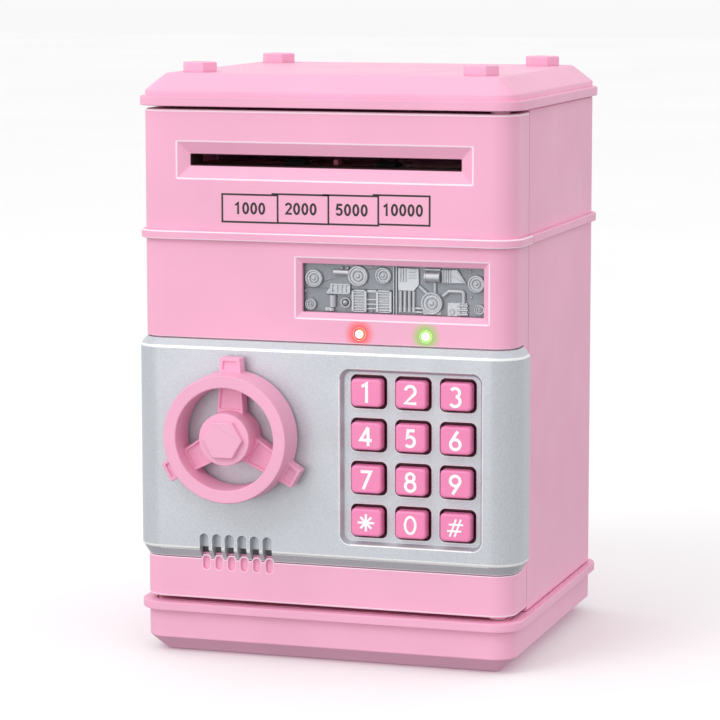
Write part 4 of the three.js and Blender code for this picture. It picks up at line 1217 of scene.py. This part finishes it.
def cards():
    t, y = 0.56, -HY
    s = Solid()
    cards_ = [(-33.6, -15.1, 140.4, 149.1), (-16.8, 1.7, 140.45, 149.5), (-0.1, 18.05, 140.5, 149.6), (16.5, 34.7, 140.9, 150.0)]
    for i, (x0, x1, z0, z1) in enumerate(cards_):
        h = t / 2
        if i == 0:
            s.join(stroke([(x0, z0), (x1, z0), (x1, z1), (x0, z1), (x0, z0)], t, 0, 0, y))
        else:
            pz, px = cards_[i - 1][3], cards_[i - 1][1]
            s.join(stroke([(x0, pz + h), (x0, z1), (x1, z1), (x1, z0), (px + h, z0)], t, 0, 0, y))
    for v in range(len(s.m)):
        s.m[v] = 0
    piece("denomination_cards", s, [black_ink.mat], "door")
    for (x0, x1, z0, z1), txt, cx, w in zip(cards_, ("1000", "2000", "5000", "10000"), (-24.42, -7.42, 9.35, 26.0), (10.75, 10.9, 10.9, 13.45)):
        step, cz, k, s = w / len(txt), (z0 + z1) / 2 + 0.05, 0, Solid()
        for i, ch in enumerate(txt):
            for p in DIGITS[ch]:
                s.join(stroke(p, 0.68, cx + (i - (len(txt) - 1) / 2) * step, cz, y, 0.06 + 0.01 * k))
                k = 1 - k
        for v in range(len(s.m)):
            s.m[v] = 0
        piece(f"denomination_{txt}", s, [black_ink.mat], "door", sharp=30)


cards()


# ================================================================== handwheel, spindle and latch arm
def handwheel():
    F, B = -68.0, -57.2
    ring = lathe([(16.0, B), (15.95, B - 0.3), (16.3, F + 0.6), (16.4, F + 0.24), (16.72, F), (19.95, F), (20.3, F + 0.14), (20.48, F + 0.5),
                  (20.95, B - 0.3), (20.85, B), (20.6, B + 0.02)], "y", WX, WZ, 96)
    hub = lathe([(0, B + 0.2), (8.55, B + 0.2), (8.7, B - 0.1), (8.42, F + 0.5), (8.28, F + 0.16), (7.92, F), (0, F)], "y", WX, WZ, 64)
    R = CAP_AF / 2 / math.cos(PI / 6) * 1.14
    hexa = prism(Y3, rounded(circ(WX, WZ, R, 6), 0.35, 3), -69.7, F + 0.6, 0.42, 0.0, 3)
    s = Solid()
    s.join(ring).join(hub).join(hexa)
    for a in (90, 210, 330):
        arm = prism(Y3, rounded([(4, -4.6), (25.2, -3.3), (25.2, 3.3), (4, 4.6)], 0.35, 3), -62.0, -57.5, 0.3, 0.2)
        cut = Solid()
        cut.join(hole(Y3, rounded([(8.9, -3.55), (15.6, -2.9), (15.6, 2.9), (8.9, 3.55)], 0.25, 3), -62.0, -61.25, 0.18, rb=0.15))
        cut.join(hole(Y3, rounded([(21.4, -2.5), (24.15, -2.2), (24.15, 2.2), (21.4, 2.5)], 0.25, 3), -62.0, -61.35, 0.18, rb=0.15))
        me = boolean(arm, cut)
        bm = bmesh.new()
        bm.from_mesh(me)
        c, n = math.cos(math.radians(a)), math.sin(math.radians(a))
        for v in bm.verts:
            x, z = v.co.x, v.co.z
            v.co.x, v.co.z = x * c - z * n + WX * MM, x * n + z * c + WZ * MM
        bm.to_mesh(me)
        bm.free()
        s_ = me
        arms.append(s_)
    piece("handwheel_moulding", merged(s, *arms), [P], "handwheel", "handwheel")


arms = []
handwheel()
polish("spindle", steel.mat, 0.2)
polish("latch_arm", steel.mat, 0.25)
polish("latch_keeper", steel.mat, 0.2)
polish("lock_plunger", steel.mat, 0.25)
for n_ in ("hinge_pin_upper", "hinge_pin_lower", "feed_shaft", "pinch_shaft", "feed_motor"):
    polish(n_, steel.mat, 0.15)
polish("motor_pinion", brass.mat, 0.06)
polish("drive_gear", white_pl.mat, 0.08)
polish("feed_frame", guide_pink.mat, 0.15)
polish("keypad_membrane", silicone.mat, 0.2)
polish("main_pcb", pcb.mat, 0.1)
polish("speaker", grey_pl.mat, 0.2)
polish("lock_solenoid", grey_pl.mat, 0.2)
for i_ in (1, 2, 3):
    polish(f"battery_{i_}", sleeve.mat, 0.3)


# ================================================================== feed rollers
def rollers():
    for nm, x, z, R in (("feed_roller_left", -15.2, 153.2, 6.0), ("feed_roller_right", 15.2, 153.2, 6.0),
                        ("pinch_roller_left", -15.2, 165.2, 5.6), ("pinch_roller_right", 15.2, 165.2, 5.6)):
        rows, n = [], 60
        for h, dr in ((-3.75, -0.8), (-3.6, -0.45), (-3.2, -0.12), (-2.9, 0), (2.9, 0), (3.2, -0.12), (3.6, -0.45), (3.75, -0.8)):
            row = []
            for k in range(n):
                a = 2 * PI * k / n
                rr_ = R + dr - (0.28 if k % 4 in (1, 2) and abs(h) < 3.3 else 0.0)
                row.append((x + h, -34.0 + rr_ * math.cos(a), z + rr_ * math.sin(a)))
            rows.append(row)
        s = Solid().rings(rows)
        piece(f"{nm}_tyre", s, rubber.mat, "feed_drive" if "feed" in nm else "pinch", nm, sharp=50)


rollers()


# ================================================================== screws
def screw(node, at, axis, R, h, body):
    """Pan-head screw with a cross recess; axis is the way its head faces."""
    up = [(0, 0), (R, 0), (R, h * 0.35), (R * 0.9, h * 0.72), (R * 0.66, h * 0.95), (R * 0.4, h), (0, h)]
    head = lathe(up, "z", 0, 0, 36)
    cr = R * 0.58
    cut = Solid()
    for dx, dy in ((cr, R * 0.13), (R * 0.13, cr)):
        cut.rings([Z3(rr(-dx, dx, -dy, dy, 0.05, 2), h + 0.5), Z3(rr(-dx, dx, -dy, dy, 0.05, 2), h * 0.75), Z3(rr(-dx * 0.3, dx * 0.3, -dy * 0.8, dy * 0.8, 0.03, 2), h * 0.2)])
    me = boolean(head, cut, own=True)
    shank = lathe([(0, 0.3), (R * 0.42, 0.3), (R * 0.42, -6.0), (R * 0.1, -7.2), (0, -7.2)], "z", 0, 0, 20)
    me = merged(me, shank)
    rot = Vector((0, 0, 1)).rotation_difference(Vector(axis)).to_matrix().to_4x4()
    me.transform(Matrix.Translation(Vector(at) * MM) @ rot)
    piece(f"{node}_head", me, steel.mat, body, node, sharp=35)


for k_, (x_, z_) in enumerate(((-52, 28), (-52, 120), (52.5, 104), (52.5, 32))):
    screw(f"door_screw_{k_ + 1}", (x_, -36.15, z_), (0, 1, 0), 2.6, 1.4, "door")
for k_, (x_, y_) in enumerate(((-52, 44), (52, 44), (-52, -29), (52, -29))):
    screw(f"base_screw_{k_ + 1}", (x_, y_, 2.3), (0, 0, -1), 3.0, 1.7, "body")


# ================================================================== covers on the back of the door
def covers():
    # main back cover, its battery tub standing back from it
    c = prism(Y3, rr(-58.9, 58.9, 20.5, 136.8, 1.2, 4), -36.4, -38.2, 0.35, 0.1)
    cut = Solid()
    cut.join(hole(Y3, circ(WX, WZ, 3.4, 32), -36.4, -40, 0.3))
    cut.join(hole(Y3, circ(-42, 66.4, 2.4, 28), -36.4, -40, 0.25))
    for x, z in ((-52, 28), (-52, 120), (52.5, 104), (52.5, 32)):
        cut.join(hole(Y3, circ(x, z, 1.5, 20), -36.4, -40, 0.2))
    cut.join(hole(Y3, rr(-6.0, 46.5, 29.1, 75.9, 1.5, 4), -36.4, -40, 0.1))
    for i in range(7):
        for j in range(2):
            cut.join(hole(Y3, rr(-40 + i * 3.4, -38.4 + i * 3.4, 27.0 + j * 11, 35.0 + j * 11, 0.8, 4), -36.4, -40, 0.2))
    me = boolean(c, cut)
    tub = Solid().rings([Y3(rr(-7.7, 48.2, 27.4, 77.6, 2.2, 5), -45.8), Y3(rr(-7.7, 48.2, 27.4, 77.6, 2.2, 5), -29.6),
                         Y3(rr(-7.5, 48.0, 27.6, 77.4, 2.0, 5), -29.2), Y3(rr(-6.4, 46.9, 28.7, 76.3, 1.5, 5), -29.2),
                         Y3(rr(-6.2, 46.7, 28.9, 76.1, 1.4, 5), -29.5), Y3(rr(-6.2, 46.7, 28.9, 76.1, 1.4, 5), -44.4)], caps=False)
    tub.add([(x, -44.4, z) for x, z in rr(-6.2, 46.7, 28.9, 76.1, 1.4, 5)] + [(x, -45.8, z) for x, z in rr(-7.7, 48.2, 27.4, 77.6, 2.2, 5)],
            [tuple(range(24)), tuple(range(24, 48))])
    ribs = Solid()
    for z in (98.0, 126.0):
        ribs.join(prism(Y3, rr(-56.5, 56.5, z - 0.7, z + 0.7, 0.6, 4), -35.6, -37, 0.25, 0.0))
    for x in (-56.5, 56.5):
        ribs.join(prism(Y3, rr(x - 0.7, x + 0.7, 24, 133, 0.6, 4), -35.6, -37, 0.25, 0.0))
    for x, z in ((-52, 28), (-52, 120), (52.5, 104), (52.5, 32)):
        ribs.join(lathe([(3.3, -36.8), (3.3, -36.2), (3.5, -36.0), (4.1, -36.0), (4.3, -36.2), (4.3, -36.8)], "y", x, z, 32))
    ribs.join(lathe([(4.0, -36.8), (4.0, -35.9), (4.3, -35.6), (6.6, -35.6), (6.9, -35.9), (6.9, -36.8)], "y", WX, WZ, 40))
    piece("door_back_cover_skin", merged(me, tub, ribs), [PI_], "door", "door_back_cover")

    # battery cover: lid with finger ribs and a latch tongue
    b = prism(Y3, rr(-7.5, 48.0, 27.6, 77.4, 2.0, 5), -27.4, -28.9, 0.35, 0.1)
    cut = Solid()
    cut.join(hole(Y3, rounded([(10.5, 63.5), (30, 63.5), (30, 72.5), (10.5, 72.5)], 1.5, 5), -27.4, -27.95, 0.25, rb=0.2))
    me = boolean(b, cut)
    ex = Solid()
    for i in range(6):
        ex.join(prism(Y3, rr(12, 28.5, 64.4 + i * 1.3, 65.0 + i * 1.3, 0.28, 3), -27.35, -28.2, 0.2, 0.0))
    ex.join(prism(Y3, rounded([(14, 73.6), (26, 73.6), (25, 75.4), (15, 75.4)], 0.5, 4), -26.9, -28.0, 0.3, 0.0))
    for x in (-4.5, 45.0):
        ex.join(prism(Y3, rr(x - 0.6, x + 0.6, 32, 72, 0.5, 4), -27.1, -28.2, 0.25, 0.0))
    piece("battery_cover_skin", merged(me, ex), [PI_], "door", "battery_cover")

    # feed cover: plate and a hat over the rollers, with the banknote's way out
    hat_rows = [Y3(rr(-54, 53, 137.6, 172.9, 1.4, 5), -37.5), Y3(rr(-53.9, 52.9, 137.7, 172.8, 1.4, 5), -22.9), Y3(rr(-53.6, 52.6, 138.0, 172.5, 1.3, 5), -22.3),
                Y3(rr(-53.0, 52.0, 138.6, 171.9, 1.0, 5), -22.0)]
    hat = Solid().rings(hat_rows)
    inner = Solid().rings([Y3(rr(-52.4, 51.4, 139.2, 171.4, 0.6, 4), -40), Y3(rr(-52.4, 51.4, 139.2, 171.4, 0.6, 4), -23.6)])
    me = boolean(hat, inner)
    cut = hole(Y3, rr(-46, 46, 157.0, 162.4, 1.2, 5), -22.0, -30, 0.5)
    me = boolean(me, cut)
    plate = prism(Y3, rr(-58.9, 58.9, 137.4, 173.1, 1.0, 4), -36.4, -38.2, 0.3, 0.1)
    plate = boolean(plate, Solid().rings([Y3(rr(-52.9, 51.9, 138.7, 171.8, 0.6, 4), -50), Y3(rr(-52.9, 51.9, 138.7, 171.8, 0.6, 4), -30)]))
    ex = Solid()
    for x in (-50.5, 49.5):
        ex.join(lathe([(0, -23), (2.4, -23), (2.4, -21.9), (2.1, -21.75), (0, -21.75)], "y", x, 142.0, 28))
    piece("feed_cover_skin", merged(me, plate, ex), [PI_], "door", "feed_cover")


covers()


# ================================================================== stage
def area(name, at, look, size, power, colour=(1, 1, 1)):
    d = bpy.data.lights.new(name, "AREA")
    d.shape, d.size, d.energy, d.color = "SQUARE", size, power, colour
    o = bpy.data.objects.new(name, d)
    SCENE.collection.objects.link(o)
    o.location = at
    o.rotation_mode = "QUATERNION"
    o.rotation_quaternion = (Vector(look) - Vector(at)).to_track_quat("-Z", "Y")
    return o


def stage():
    me = bpy.data.meshes.new("floor")
    me.from_pydata([(-6, -6, -0.0004), (6, -6, -0.0004), (6, 6, -0.0004), (-6, 6, -0.0004)], [], [(0, 1, 2, 3)])
    o = bpy.data.objects.new("floor", me)
    SCENE.collection.objects.link(o)
    m = Nodes("floor_paper", Roughness=0.95, Specular_IOR_Level=0.0)
    m.link(m.ramp(m.noise(3.0), [(0.3, (0.95, 0.95, 0.95, 1)), (0.7, (0.97, 0.97, 0.97, 1))]), m.b.inputs["Base Color"])
    me.materials.append(m.mat)
    o.visible_diffuse = o.visible_glossy = False          # pale paper that throws no light back up
    w = bpy.data.worlds.new("studio")
    SCENE.world = w
    w.use_nodes = True
    t = w.node_tree
    bg = t.nodes["Background"]
    bg.inputs[0].default_value = (1, 1, 1, 1)
    co = t.nodes.new("ShaderNodeTexCoord")
    sep = t.nodes.new("ShaderNodeSeparateXYZ")
    mr = t.nodes.new("ShaderNodeMapRange")
    t.links.new(co.outputs["Generated"], sep.inputs[0])
    t.links.new(sep.outputs["Z"], mr.inputs["Value"])
    for k, v in (("From Min", -0.75), ("From Max", 0.03), ("To Min", 0.25), ("To Max", 1.0)):
        mr.inputs[k].default_value = v
    t.links.new(mr.outputs["Result"], bg.inputs[1])
    area("key", (-0.55, -1.0, 1.15), (0, -0.03, 0.09), 0.7, 5.0)
    area("front_box", (-0.5, -1.35, 0.18), (0, -0.05, 0.09), 0.8, 3.5)
    SCENE.view_settings.view_transform = "Standard"


stage()
